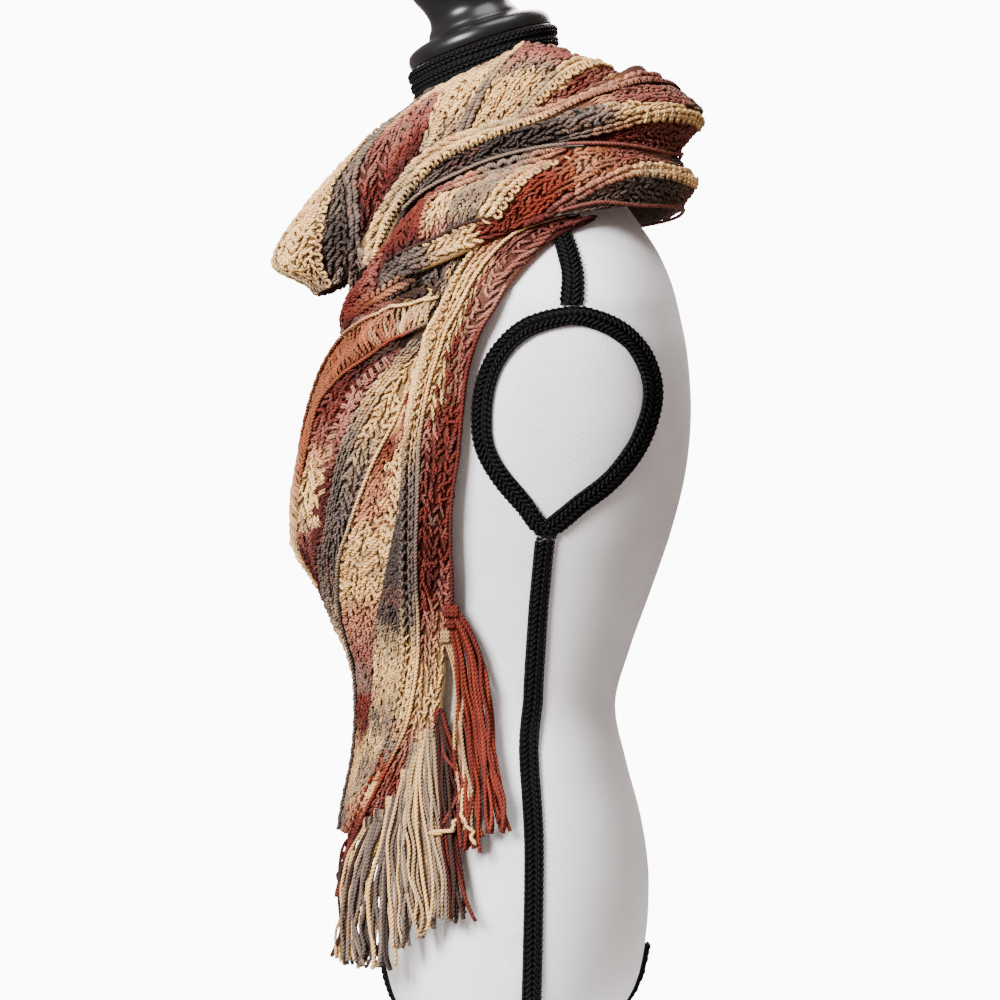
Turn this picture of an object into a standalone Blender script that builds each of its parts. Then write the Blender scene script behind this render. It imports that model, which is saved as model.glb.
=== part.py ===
"""Ribbed crochet scarf wound twice round a limbless dress form, metres, +Z up.

The form faces -Y and its left side is +X.  Driving sizes are in millimetres and
are turned into metres where the meshes are made.  The origin is the middle of
the underside of the base.

Each wound stretch of the scarf is a wall through sections.  A section stands at
an azimuth round the neck (0 = left side, 90 = back, -90 = front) and gives the
radius and height of the cloth from its upper to its lower edge.  Ribs are raised
in the outer points only.  Each tail is a wall through horizontal sections round
the chest, and ends in a fringed strip of its own.
"""
import math

import bmesh
import bpy
import numpy as np
from mathutils import Vector

MM = 0.001
SEAM_GAP = 0.3

# ---------------------------------------------------------------- dress form
# One row a ring: front and back point (y, z), share of the depth from the front
# at which the ring is widest, half width, and how square each half is.
TORSO_COLUMNS = ("front_y", "front_z", "back_y", "back_z",
                 "wide", "half_width", "square_front", "square_back")
TORSO_RINGS = (
    (-72, 26, 58, 26, 0.52, 104, 2.1, 2.1),
    (-98, 44, 82, 44, 0.52, 140, 2.1, 2.1),
    (-110, 70, 98, 70, 0.52, 160, 2.1, 2.1),
    (-115, 110, 106, 110, 0.52, 166, 2.1, 2.1),
    (-112, 152, 108, 152, 0.52, 162, 2.1, 2.1),
    (-106, 202, 102, 202, 0.52, 148, 2.1, 2.1),
    (-100, 252, 89, 252, 0.52, 128, 2.1, 2.1),
    (-97, 298, 80, 298, 0.52, 117, 2.1, 2.1),
    (-101, 345, 92, 345, 0.52, 121, 2.1, 2.1),
    (-113, 395, 110, 395, 0.52, 132, 2.1, 2.1),
    (-128, 445, 127, 445, 0.53, 146, 2.1, 2.2),
    (-138, 495, 139, 495, 0.55, 158, 2.1, 2.3),
    (-135, 545, 143, 545, 0.58, 166, 2.2, 2.4),
    (-126, 590, 140, 590, 0.61, 170, 2.2, 2.4),
    (-116, 622, 134, 622, 0.63, 170, 2.2, 2.3),
    (-107, 650, 127, 650, 0.64, 160, 2.1, 2.2),
    (-97, 672, 115, 678, 0.63, 143, 2.1, 2.1),
    (-89, 694, 98, 704, 0.61, 118, 2.0, 2.0),
    (-83, 716, 78, 732, 0.58, 94, 2.0, 2.0),
    (-80, 742, 56, 763, 0.54, 74, 2.0, 2.0),
    (-79, 770, 40, 806, 0.51, 62, 2.0, 2.0),
    (-83, 800, 29, 840, 0.50, 58, 2.0, 2.0),
    (-91, 829, 27, 869, 0.50, 57, 2.0, 2.0),
)
TORSO_SIDES = 32
DOUBLED_RINGS = 15
BUST_HEIGHT = 488
BUST_SPREAD = 74
BUST_DEPTH = 12
BUST_RADIUS = 46

# Turned cap on the neck: radius and height along the neck's axis.
CAP_PROFILE = ((61.5, 0), (62.5, 5), (60.5, 11), (54, 15), (42, 18), (39, 23), (35.5, 29),
               (34.5, 35), (36.5, 44), (41, 54), (43.5, 64), (41, 76), (31, 88), (16, 95))
CAP_TOP = 97
CAP_SIDES = 24

# Turned foot under the torso: radius and height.
BASE_PROFILE = ((108, 0), (110, 4), (108, 10), (98, 14), (92, 19), (90, 25.7))
BASE_SIDES = 32

# Braid trims sewn on the form.
BRAID_THICK = 2.2
BRAID_LIFT = 1.4
ARMHOLE_LIFT = 1.9
BRAID_WIDTH = 15
BRAID_STEP = 10
# Armhole loop on the form's side, seen from the left: (y, z), from the top forwards.
ARMHOLE = ((40, 616), (7, 608), (-15, 589), (-27, 565), (-31, 537), (-29, 514), (-17, 490),
           (3, 466), (20, 448), (47, 468), (72, 488), (94, 518), (104, 553), (98, 581),
           (82, 601), (62, 612))
SIDE_SEAM = ((19, 437), (14, 385), (9, 308), (6, 268), (10, 199), (9, 119), (8, 71), (8, 42))
SHOULDER_FOOT = 624.4
SHOULDER_STEPS = 22
SHOULDER_TOP_RING = 20.9
NECK_BRAID_RINGS = (21.05, 21.97)
NECK_BRAID_LIFT = 0.6
MIDDLE_SEAM = (42, 98)

# ------------------------------------------------------------- wound stretches
NECK_AXIS_Y = 10
WALL = 3.5
RIB_RAISE = 3.0
RING_STEPS = 40
RIGHT_DIP = -2

# Right-hand sections mirror the left ones, lowered or raised a little.
INNER_COLUMNS = ("azimuth", "top_r", "top_z", "upper_r", "upper_z",
                 "crest_r", "crest_z", "hem_r", "hem_z")
INNER_WRAP = (
    (-90, 104, 794, 157, 757, 219, 674, 184, 642),
    (-83, 103, 796, 154, 758, 212, 675, 180, 643),
    (-78, 102, 798, 149, 761, 197, 678, 170, 648),
    (-74, 101, 800, 140, 768, 165, 696, 146, 662),
    (-68, 100, 804, 128, 778, 139, 720, 132, 680),
    (-60, 99, 809, 116, 792, 127, 750, 122, 714),
    (-45, 92, 818, 104, 806, 113, 778, 111, 738),
    (-25, 84, 831, 96, 820, 103, 794, 101, 752),
    (0, 78, 846, 91, 834, 98, 808, 96, 768),
    (30, 80, 836, 92, 826, 98, 806, 94, 780),
    (60, 82, 826, 92, 818, 99, 802, 96, 786),
    (90, 84, 822, 93, 815, 100, 800, 97, 784),
)
INNER_RIBS = 7

ROLL_COLUMNS = ("azimuth", "top_r", "top_z", "mid_r", "mid_z", "low_r", "low_z")
UPPER_ROLL = (
    (-90, 144, 636, 152, 629, 151, 620),
    (-82, 146, 640, 154, 632, 153, 622),
    (-78, 148, 645, 156, 636, 154, 626),
    (-74, 151, 661, 159, 647, 156, 634),
    (-68, 152, 688, 161, 670, 158, 652),
    (-60, 138, 722, 156, 694, 157, 661),
    (-45, 122, 760, 145, 737, 146, 708),
    (-25, 111, 775.5, 133, 758, 132, 736),
    (0, 105, 788, 131, 772, 126, 753),
    (30, 103.6, 810, 135, 786, 130, 758),
    (60, 99, 831, 141, 793, 130, 755),
    (90, 96, 834, 145, 794, 125, 760),
)
UPPER_RIBS = 4

LOWER_ROLL = (
    (-90, 149, 618, 160, 609, 158, 598),
    (-82, 151, 620, 162, 611, 160, 600),
    (-74, 154, 632, 166, 620, 164, 606),
    (-68, 155, 650, 168, 634, 167, 617),
    (-60, 154, 658, 168, 644, 168, 626),
    (-45, 143, 706, 165, 676, 169, 643),
    (-25, 129, 735.2, 157, 701, 163.4, 664),
    (0, 123, 752.5, 151, 722, 150.2, 691),
    (30, 127, 758.4, 149, 733, 141, 706),
    (60, 127, 754, 143, 733, 134, 711),
    (90, 122, 759, 138, 735, 126, 712),
)
LOWER_RIBS = 5

# ------------------------------------------------------------------ hung tails
# The cloth hangs on an outline round the chest, a row for each height: half width
# at the side, reach at the front, and the azimuth-like angles (0 = side, 90 =
# middle of the front) of the tail's back edge, its main cream ridge and front edge.
DRAPE_COLUMNS = ("z", "half_width", "front_y", "wide_y", "square")
DRAPE = (
    (60, 172, -152, 0, 2.1),
    (110, 178, -155, 0, 2.1),
    (152, 174, -156, 0, 2.1),
    (185, 166, -152, 0, 2.1),
    (218, 156, -147, 0, 2.1),
    (252, 143, -140, 0, 2.1),
    (298, 131, -137, 0, 2.1),
    (336, 131, -142, 2, 2.1),
    (370, 138, -157, 4, 2.1),
    (403, 147, -173, 6, 2.1),
    (437, 156, -190, 8, 2.1),
    (470, 165, -191, 12, 2.1),
    (504, 171, -187, 18, 2.1),
    (538, 176, -180, 25, 2.1),
    (571, 180, -170, 31, 2.1),
    (605, 182, -160, 37, 2.1),
    (630, 178, -148, 41, 2.1),
    (655, 168, -134, 43, 2.1),
    (680, 152.8, -122, 40, 2.1),
    (705, 126.8, -113, 34, 2.0),
)
BACK_REACH = 0.62
TAIL_COLUMNS = ("z", "back_y", "ridge_y", "fold_angle", "front_angle")
LEFT_TAIL = (
    (700, 62, 18, 22, 30),
    (684, 30, -20, 29, 36),
    (664, 8, -42, 33, 42),
    (644, -9, -54, 35, 46),
    (622, -22, -64, 38, 62),
    (605, -32, -73, 40, 72),
    (590, -38, -77, 42, 80),
    (571, -43, -82, 45, 92),
    (538, -47, -86, 48, 104),
    (504, -50, -88, 53, 109),
    (470, -55, -88, 56, 113),
    (437, -56, -88, 60, 115),
    (403, -55, -87, 74, 117),
    (381, -55, -86, 84, 118),
    (353, -61, -86, 90, 118),
    (319, -64, -90, 93, 117),
    (286, -70, -97, 94, 116),
    (252, -89, -111, 94, 114),
    (218, -107, -127, 95, 112),
    (193, -126, -136, 95, 110),
)
LEFT_RIBS = (2, 3, 5)
# Standing out of each rib line over the outline, back edge to front edge.
LEFT_FOLDS = (-1, 1, 4, -6, -1, 3, -4, 3, -3, 2, -3)
LEFT_STEPS = 26

RIGHT_TAIL = (
    (700, 56, 18, 20, 27),
    (664, 6, -36, 31, 40),
    (622, -20, -58, 37, 47),
    (571, -36, -76, 42, 52),
    (504, -44, -86, 46, 56),
    (437, -46, -88, 46, 56),
    (370, -44, -82, 46, 56),
    (325, -40, -76, 45, 55),
)
RIGHT_RIBS = (2, 3, 3)
RIGHT_FOLDS = (0, 2, 3, -5, 2, -4, 3, -3, -1)
RIGHT_STEPS = 16

# ---------------------------------------------------------------------- fringe
# Strands stand on a narrow strip beside the cloth's edge.  A row for each share of
# the edge: the angle and height of the strand's end, how soon it swings there.
STRIP_GAP = 0.9
STRIP_WIDTH = 6.0
STRAND_SIZE = 2.6
STRAND_JOINTS = 3
LAYER_DEPTH = 2.6
LEG_POINTS = 60
FRINGE_COLUMNS = ("share", "end_angle", "end_z", "swing")
LEFT_FRINGE = (
    (0.0, 6, 212, 2.6),
    (0.2, 12, 200, 2.2),
    (0.3, 16, 140, 1.8),
    (0.45, 24, 118, 1.4),
    (0.55, 33, 104, 1.1),
    (0.67, 50, 92, 1.0),
    (0.8, 74, 84, 1.0),
    (0.9, 92, 88, 1.0),
    (1.0, 108, 96, 1.0),
)
LEFT_STRANDS = 46
LEFT_EDGE_TOP = 381
RIGHT_FRINGE = (
    (0.0, 13, 190, 1.0),
    (0.5, 34, 176, 1.0),
    (1.0, 56, 184, 1.0),
)
RIGHT_STRANDS = 22


def smooth_table(rows, columns, key):
    """Interpolate every named column of a table along one of them, without overshoot."""
    data = np.array(sorted(rows, key=lambda row: row[columns.index(key)]), float)
    knots = data[:, columns.index(key)]
    steps = np.diff(knots)
    rates = np.diff(data, axis=0) / steps[:, None]
    slopes = np.zeros_like(data)
    for i in range(1, len(knots) - 1):
        before, after = rates[i - 1], rates[i]
        same = before * after > 0
        total = steps[i - 1] + steps[i]
        mean = (before * steps[i] + after * steps[i - 1]) / total
        limit = 3 * np.minimum(abs(before), abs(after))
        slopes[i] = np.where(same, np.sign(mean) * np.minimum(abs(mean), limit), 0)
    slopes[0], slopes[-1] = rates[0], rates[-1]

    def read(value):
        value = min(max(value, knots[0]), knots[-1])
        i = min(int(np.searchsorted(knots, value, side="right")) - 1, len(knots) - 2)
        h = steps[i]
        t = (value - knots[i]) / h
        row = ((1 + 2 * t) * (1 - t) ** 2 * data[i] + t * (1 - t) ** 2 * h * slopes[i]
               + t * t * (3 - 2 * t) * data[i + 1] + t * t * (t - 1) * h * slopes[i + 1])
        return dict(zip(columns, row))
    return read


def material(name, colour, rough, metal=0.0):
    made = bpy.data.materials.new(name)
    made.use_nodes = True
    shader = made.node_tree.nodes["Principled BSDF"]
    shader.inputs["Base Color"].default_value = (*colour, 1)
    shader.inputs["Roughness"].default_value = rough
    shader.inputs["Metallic"].default_value = metal
    return made


def add_solid(name, points, faces, finish):
    """A named closed mesh from points in millimetres, its normals turned outwards."""
    mesh = bpy.data.meshes.new(name)
    mesh.from_pydata([Vector(p) * MM for p in points], [], faces)
    shape = bmesh.new()
    shape.from_mesh(mesh)
    bmesh.ops.triangulate(shape, faces=[f for f in shape.faces if len(f.verts) > 4])
    bmesh.ops.recalc_face_normals(shape, faces=shape.faces)
    if shape.calc_volume(signed=True) < 0:
        bmesh.ops.reverse_faces(shape, faces=shape.faces)
    shape.to_mesh(mesh)
    shape.free()
    mesh.shade_smooth()
    mesh.set_sharp_from_angle(angle=math.radians(40))
    mesh.materials.append(finish)
    made = bpy.data.objects.new(name, mesh)
    bpy.context.scene.collection.objects.link(made)
    return made


def loft_rings(rings, closed=False):
    """Faces between rings of equal length; a closed loft joins its last ring to its first."""
    count = len(rings[0])
    points = [p for ring in rings for p in ring]
    faces = []
    for i in range(len(rings) if closed else len(rings) - 1):
        here, there = i * count, (i + 1) % len(rings) * count
        for j in range(count):
            k = (j + 1) % count
            faces.append((here + j, here + k, there + k, there + j))
    if not closed:
        faces.append(tuple(range(count)))
        faces.append(tuple(reversed(range(len(points) - count, len(points)))))
    return points, faces


# ------------------------------------------------------------------ dress form
def signed_power(value, power):
    return math.copysign(abs(value) ** power, value)


TORSO_READ = []


def torso_row(ring):
    """A ring's named sizes at a fractional ring number."""
    if not TORSO_READ:
        numbered = [(i, *row) for i, row in enumerate(TORSO_RINGS)]
        TORSO_READ.append(smooth_table(numbered, ("ring",) + TORSO_COLUMNS, "ring"))
    return TORSO_READ[0](ring)


def ring_point(ring, angle):
    """A point of the torso at a ring number and an angle (0 left side, 90 back)."""
    row = torso_row(ring)
    c, s = math.cos(angle), math.sin(angle)
    square = row["square_back"] if s > 0 else row["square_front"]
    half = 1 - row["wide"] if s > 0 else row["wide"]
    share = row["wide"] + signed_power(s, 2 / square) * half
    x = row["half_width"] * signed_power(c, 2 / square)
    y = row["front_y"] + share * (row["back_y"] - row["front_y"])
    z = row["front_z"] + share * (row["back_z"] - row["front_z"])
    if s < 0:
        off_x = (abs(x) - BUST_SPREAD) / BUST_RADIUS
        off_z = (z - BUST_HEIGHT) / BUST_RADIUS
        y -= BUST_DEPTH * math.exp(-off_x ** 2 - off_z ** 2) * min(1, -2 * s)
    return Vector((x, y, z))


def facet_point(ring, angle):
    """The point of the torso's facets at a ring number and an angle."""
    turn = angle / math.tau * TORSO_SIDES
    side = math.floor(turn)
    scale = 2 if ring < DOUBLED_RINGS else 1
    base = math.floor(ring * scale)
    across, up = turn - side, ring * scale - base
    last = len(TORSO_RINGS) - 1
    corners = [[ring_point(min((base + i) / scale, last), math.tau * (side + j) / TORSO_SIDES)
                for j in (0, 1)] for i in (0, 1)]
    rows = [corners[i][0].lerp(corners[i][1], across) for i in (0, 1)]
    return rows[0].lerp(rows[1], up)


def torso_point(ring, angle, lift):
    """A point of the torso lifted along the surface's normal."""
    step = 0.02
    last = len(TORSO_RINGS) - 1
    here = facet_point(ring, angle)
    across = ring_point(ring, angle + step) - ring_point(ring, angle - step)
    up = ring_point(min(ring + step, last), angle) - ring_point(max(ring - step, 0), angle)
    return here + across.cross(up).normalized() * lift


def ring_at_height(z):
    """The ring number at a height, where the rings lie level."""
    low, high = 0.0, float(len(TORSO_RINGS) - 1)
    for _ in range(30):
        mid = (low + high) / 2
        if torso_row(mid)["front_z"] < z:
            low = mid
        else:
            high = mid
    return (low + high) / 2


def solve_angle(ring, axis, value, low, high):
    """The angle between two limits at which the ring's x or y reaches a value."""
    for _ in range(40):
        mid = (low + high) / 2
        if ring_point(ring, mid)[axis] < value:
            low = mid
        else:
            high = mid
    return (low + high) / 2


def make_torso(finish):
    steps = [i / 2 for i in range(2 * DOUBLED_RINGS)]
    steps += range(DOUBLED_RINGS, len(TORSO_RINGS))
    rings = [[ring_point(ring, math.tau * j / TORSO_SIDES) for j in range(TORSO_SIDES)]
             for ring in steps]
    return add_solid("form_torso", *loft_rings(rings), finish)


def neck_frame():
    """Middle, axis and forward direction of the neck's top ring."""
    row = torso_row(len(TORSO_RINGS) - 1)
    front = Vector((0, row["front_y"], row["front_z"]))
    back = Vector((0, row["back_y"], row["back_z"]))
    ahead = (front - back).normalized()
    axis = ahead.cross(Vector((1, 0, 0)))
    return (front + back) / 2, axis, ahead


def turned(name, profile, top, middle, axis, ahead, sides, finish):
    """A solid of revolution about an axis, with a flat underside and a pointed or flat top."""
    across = ahead.cross(axis)
    rings = []
    for radius, height in profile:
        ring = []
        for j in range(sides):
            a = math.tau * j / sides
            ring.append(middle + axis * height + (across * math.cos(a) + ahead * math.sin(a)) * radius)
        rings.append(ring)
    points, faces = loft_rings(rings)
    if top is not None:
        faces.pop()
        tip = len(points)
        points.append(middle + axis * top)
        start = tip - sides
        faces += [(start + j, start + (j + 1) % sides, tip) for j in range(sides)]
    return add_solid(name, points, faces, finish)


def make_cap(finish):
    middle, axis, ahead = neck_frame()
    seat = middle + axis * SEAM_GAP
    return turned("form_neck_cap", CAP_PROFILE, CAP_TOP, seat, axis, ahead, CAP_SIDES, finish)


def make_base(finish):
    up, ahead = Vector((0, 0, 1)), Vector((0, -1, 0))
    return turned("form_base", BASE_PROFILE, None, Vector((0, 0, 0)), up, ahead, BASE_SIDES, finish)


def curve_points(controls, step, closed):
    """Points about a step apart on a smooth curve through control points."""
    data = [Vector(c) for c in controls]
    count = len(data)
    found = []
    spans = count if closed else count - 1
    for i in range(spans):
        if closed:
            p = [data[(i + k) % count] for k in (-1, 0, 1, 2)]
        else:
            p = [data[min(max(i + k, 0), count - 1)] for k in (-1, 0, 1, 2)]
        pieces = max(1, round((p[2] - p[1]).length / step))
        for j in range(pieces):
            t = j / pieces
            found.append(0.5 * (2 * p[1] + (p[2] - p[0]) * t
                                + (2 * p[0] - 5 * p[1] + 4 * p[2] - p[3]) * t * t
                                + (3 * p[1] - p[0] - 3 * p[2] + p[3]) * t ** 3))
    if not closed:
        found.append(data[-1])
    return found


def braid_strip(name, path, closed, finish, side, place, base_lift=BRAID_LIFT):
    """A flat braid on the torso; the place function lays each point of its path."""
    rings = []
    count = len(path)
    for i, here in enumerate(path):
        before = path[(i - 1) % count] if closed or i else here
        after = path[(i + 1) % count] if closed or i < count - 1 else here
        along = (after - before).normalized()
        over = Vector((-along.y, along.x)) * BRAID_WIDTH / 2
        ring = []
        for edge, lift in ((-1, 0), (1, 0), (1, BRAID_THICK), (-1, BRAID_THICK)):
            spot = place(here + over * edge, base_lift + lift)
            ring.append(Vector((spot.x * side, spot.y, spot.z)))
        rings.append(ring)
    return add_solid(name, *loft_rings(rings, closed), finish)


def on_side(spot, lift):
    """Place (y, z) on the torso's left side."""
    ring = ring_at_height(spot.y)
    return torso_point(ring, solve_angle(ring, 1, spot.x, -math.pi / 2, math.pi / 2), lift)


def on_front(spot, lift):
    """Place (x, z) on the torso's front."""
    ring = ring_at_height(spot.y)
    return torso_point(ring, solve_angle(ring, 0, spot.x, -math.pi, 0), lift)


def on_back(spot, lift):
    """Place (-x, z) on the torso's back."""
    ring = ring_at_height(spot.y)
    return torso_point(ring, -solve_angle(ring, 0, spot.x, -math.pi, 0), lift)


def on_shoulder(spot, lift):
    """Place (offset from the shoulder line, ring number) on the torso."""
    row = torso_row(spot.y)
    return torso_point(spot.y, 2 * spot.x / (row["back_y"] - row["front_y"]), lift)


def make_neck_braid(finish):
    rings = []
    low, high = NECK_BRAID_RINGS
    top = NECK_BRAID_LIFT + BRAID_THICK
    for j in range(TORSO_SIDES):
        angle = math.tau * j / TORSO_SIDES
        rings.append([torso_point(low, angle, NECK_BRAID_LIFT), torso_point(high, angle, NECK_BRAID_LIFT),
                      torso_point(high, angle, top), torso_point(low, angle, top)])
    return add_solid("braid_neck", *loft_rings(rings, True), finish)


def make_shoulder_braid(name, side, finish):
    """A strip up the shoulder's crown, from the armhole to the neck braid."""
    foot = ring_at_height(SHOULDER_FOOT)
    rings = []
    for i in range(SHOULDER_STEPS + 1):
        ring_number = foot + (SHOULDER_TOP_RING - foot) * i / SHOULDER_STEPS
        ring = []
        for edge, lift in ((-1, 0), (1, 0), (1, BRAID_THICK), (-1, BRAID_THICK)):
            spot = on_shoulder(Vector((edge * BRAID_WIDTH / 2, ring_number)), BRAID_LIFT + lift)
            ring.append(Vector((spot.x * side, spot.y, spot.z)))
        rings.append(ring)
    return add_solid(name, *loft_rings(rings), finish)


def make_braids(finish):
    make_neck_braid(finish)
    loop = curve_points(ARMHOLE, BRAID_STEP, True)
    seam = curve_points(SIDE_SEAM, BRAID_STEP * 1.6, False)
    middle = curve_points([(0, z) for z in MIDDLE_SEAM], BRAID_STEP * 1.6, False)
    for side, word in ((1, "left"), (-1, "right")):
        braid_strip("braid_armhole_" + word, loop, True, finish, side, on_side, ARMHOLE_LIFT)
        braid_strip("braid_side_" + word, seam, False, finish, side, on_side)
        make_shoulder_braid("braid_shoulder_" + word, side, finish)
    braid_strip("braid_front", middle, False, finish, 1, on_front)
    braid_strip("braid_back", middle, False, finish, 1, on_back)


# ------------------------------------------------------------- wound stretches
def mirrored_rows(rows, dip):
    """Left sections from front to back, then the right side's, turned over and dipped."""
    whole = [tuple(row) for row in rows]
    for row in reversed(rows[1:-1]):
        turned_row = [180 - row[0]]
        for i, value in enumerate(row[1:]):
            is_height = i % 2 == 1
            turned_row.append(value + (dip if is_height else 0) * math.cos(math.radians(row[0])))
        whole.append(tuple(turned_row))
    front = list(rows[0])
    front[0] = 270
    whole.append(tuple(front))
    return whole


def profile_point(row, columns, v):
    """A point (r, z) at share v of a section, on a smooth curve through its named points."""
    spots = [Vector((row[columns[i]], row[columns[i + 1]])) for i in range(1, len(columns), 2)]
    spans = len(spots) - 1
    i = min(int(v * spans), spans - 1)
    t = v * spans - i
    p1, p2 = spots[i], spots[i + 1]
    p0 = spots[i - 1] if i else 2 * p1 - p2 + (spots[2] - 2 * p2 + p1) * -0.5
    p3 = spots[i + 2] if i + 2 <= spans else 2 * p2 - p1 + (spots[-3] - 2 * p1 + p2) * -0.5
    return 0.5 * (2 * p1 + (p2 - p0) * t + (2 * p0 - 5 * p1 + 4 * p2 - p3) * t * t
                  + (3 * p1 - p0 - 3 * p2 + p3) * t ** 3)


def wound_section(row, columns, ribs):
    """Outer ribbed line and plain inner line of one section, as (r, z) points."""
    lines = 2 * ribs
    outer, inner = [], []
    for j in range(lines + 1):
        v = j / lines
        here = profile_point(row, columns, v)
        slope = profile_point(row, columns, min(1, v + 0.01)) - profile_point(row, columns, max(0, v - 0.01))
        out = Vector((-slope.y, slope.x)).normalized()
        outer.append(here + out * (RIB_RAISE if j % 2 else 0) - out * RIB_RAISE)
        if j % 2 == 0:
            inner.append(here - out * (WALL + RIB_RAISE))
    return outer, inner


def make_wound(name, rows, columns, ribs, dip, finish):
    read = smooth_table(mirrored_rows(rows, dip), columns, "azimuth")
    rings = []
    for step in range(RING_STEPS):
        azimuth = -90 + 360 * ring_share(step)
        a = math.radians(azimuth)
        outer, inner = wound_section(read(azimuth), columns, ribs)
        ring = [Vector((r * math.cos(a), NECK_AXIS_Y + r * math.sin(a), z))
                for r, z in outer + inner[::-1]]
        rings.append(ring)
    return add_solid(name, *loft_rings(rings, True), finish)


def ring_share(step):
    """Share of the way round; sections stand closer together at the front."""
    t = step / RING_STEPS
    return t - 0.055 * math.sin(math.tau * t)


# ------------------------------------------------------------------ hung tails
def back_reach(row, behind):
    """How far the hanging outline reaches from its widest line, behind or in front of it."""
    return row["half_width"] * BACK_REACH if behind else row["wide_y"] - row["front_y"]


def drape_point(row, angle, out):
    """A point on the hanging outline at an angle (0 side, 90 front), moved outwards."""
    c, s = math.cos(angle), math.sin(angle)
    power = 2 / row["square"]
    reach = back_reach(row, s < 0)
    x = row["half_width"] * signed_power(c, power)
    y = row["wide_y"] - reach * signed_power(s, power)
    normal = Vector((c / row["half_width"], -s / reach, 0)).normalized()
    return Vector((x, y, row["z"])) + normal * out


def drape_angle(row, y):
    """The angle at which the hanging outline has the given y on its near side."""
    share = (row["wide_y"] - y) / back_reach(row, y > row["wide_y"])
    return math.asin(max(-1, min(1, signed_power(share, row["square"] / 2))))


def tail_angles(place, row, ribs):
    """Angles of the rib lines of a tail's section, back edge to front edge."""
    stops = [drape_angle(row, place["back_y"]), drape_angle(row, place["ridge_y"]),
             math.radians(place["fold_angle"]), math.radians(place["front_angle"])]
    angles = []
    for i, count in enumerate(ribs):
        angles += [stops[i] + (stops[i + 1] - stops[i]) * k / count for k in range(count)]
    return angles + stops[-1:]


def make_tail(name, rows, ribs, folds, steps, side, finish):
    drape = smooth_table(DRAPE, DRAPE_COLUMNS, "z")
    place = smooth_table(rows, TAIL_COLUMNS, "z")
    top, bottom = rows[0][0], rows[-1][0]
    sections = []
    for step in range(steps + 1):
        z = top + (bottom - top) * step / steps
        row = drape(z)
        angles = tail_angles(place(z), row, ribs)
        fade = min(1, 0.25 + step / 6)
        outer, inner = [], []
        for j in range(2 * len(angles) - 1):
            i, is_crest = j // 2, j % 2
            if is_crest:
                angle = (angles[i] + angles[i + 1]) / 2
                out = (folds[i] + folds[i + 1]) / 2 * fade
            else:
                angle = angles[i]
                out = folds[i] * fade - RIB_RAISE
                inner.append(drape_point(row, angle, out - WALL))
            outer.append(drape_point(row, angle, out))
        sections.append([Vector((p.x * side, p.y, p.z)) for p in outer + inner[::-1]])
    return add_solid(name, *loft_rings(sections), finish)


# ---------------------------------------------------------------------- fringe
def edge_legs(rows, edge_top):
    """A tail's fringed edge as one or two runs of (angle, z): its back edge, then its foot."""
    drape = smooth_table(DRAPE, DRAPE_COLUMNS, "z")
    place = smooth_table(rows, TAIL_COLUMNS, "z")
    foot = rows[-1][0]
    start = drape_angle(drape(foot), place(foot)["back_y"])
    end = math.radians(place(foot)["front_angle"])
    shares = [i / LEG_POINTS for i in range(LEG_POINTS + 1)]
    legs = []
    if edge_top > foot:
        heights = [edge_top + (foot - edge_top) * t for t in shares]
        legs.append([(drape_angle(drape(z), place(z)["back_y"]), z) for z in heights])
    legs.append([(start + (end - start) * t, foot) for t in shares])
    return legs


def edge_frames(legs, fold, segments):
    """Frames along a fringed edge, with one exactly at its corner.

    Each is (middle of the wall at the edge, direction away from the cloth, outward
    normal, angle, height).
    """
    drape = smooth_table(DRAPE, DRAPE_COLUMNS, "z")
    out = fold - RIB_RAISE - WALL / 2
    runs = []
    for leg in legs:
        points = [drape_point(drape(z), angle, out) for angle, z in leg]
        run = [0.0]
        for a, b in zip(points, points[1:]):
            run.append(run[-1] + (b - a).length)
        runs.append(run)
    whole = sum(run[-1] for run in runs)
    spots = []
    for n, (leg, run) in enumerate(zip(legs, runs)):
        is_last = n == len(legs) - 1
        share = segments - max(0, len(spots) - 1) if is_last else round(segments * run[-1] / whole)
        for k in range(1 if spots else 0, share + 1):
            at = run[-1] * k / share
            spots.append(tuple(float(np.interp(at, run, [t[i] for t in leg])) for i in (0, 1)))
    middles = [drape_point(drape(z), angle, out) for angle, z in spots]
    frames = []
    for k, (angle, z) in enumerate(spots):
        row = drape(z)
        normal = (drape_point(row, angle, 1) - drape_point(row, angle, 0)).normalized()
        into = (middles[k] - middles[max(k - 1, 0)]).normalized()
        onward = (middles[min(k + 1, len(middles) - 1)] - middles[k]).normalized()
        away = normal.cross(into + onward).normalized()
        mitre = max(0.5, math.sqrt((1 + into.dot(onward)) / 2)) if k and k < len(spots) - 1 else 1
        frames.append((middles[k], away / mitre, normal, angle, z))
    return frames


def strand_rings(root, ends, layer):
    """Square rings of one strand from its root frame to its hanging end."""
    drape = smooth_table(DRAPE, DRAPE_COLUMNS, "z")
    middle, away, normal, angle, z = root
    path = []
    for i in range(1, STRAND_JOINTS + 1):
        t = i / STRAND_JOINTS
        here_z = z + (ends["end_z"] - z) * t
        turn = 1 - (1 - t) ** ends["swing"]
        here_angle = angle + (math.radians(ends["end_angle"]) - angle) * turn
        path.append(drape_point(drape(here_z), here_angle, layer))
    rings = []
    before = middle
    for i, spot in enumerate(path):
        after = path[i + 1] if i + 1 < len(path) else spot
        down = (after - before).normalized()
        over = down.cross(normal).normalized() * STRAND_SIZE / 2
        out = over.cross(down).normalized() * STRAND_SIZE / 2
        rings.append([spot - over - out, spot + over - out, spot + over + out, spot - over + out])
        before = spot
    return rings


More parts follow.
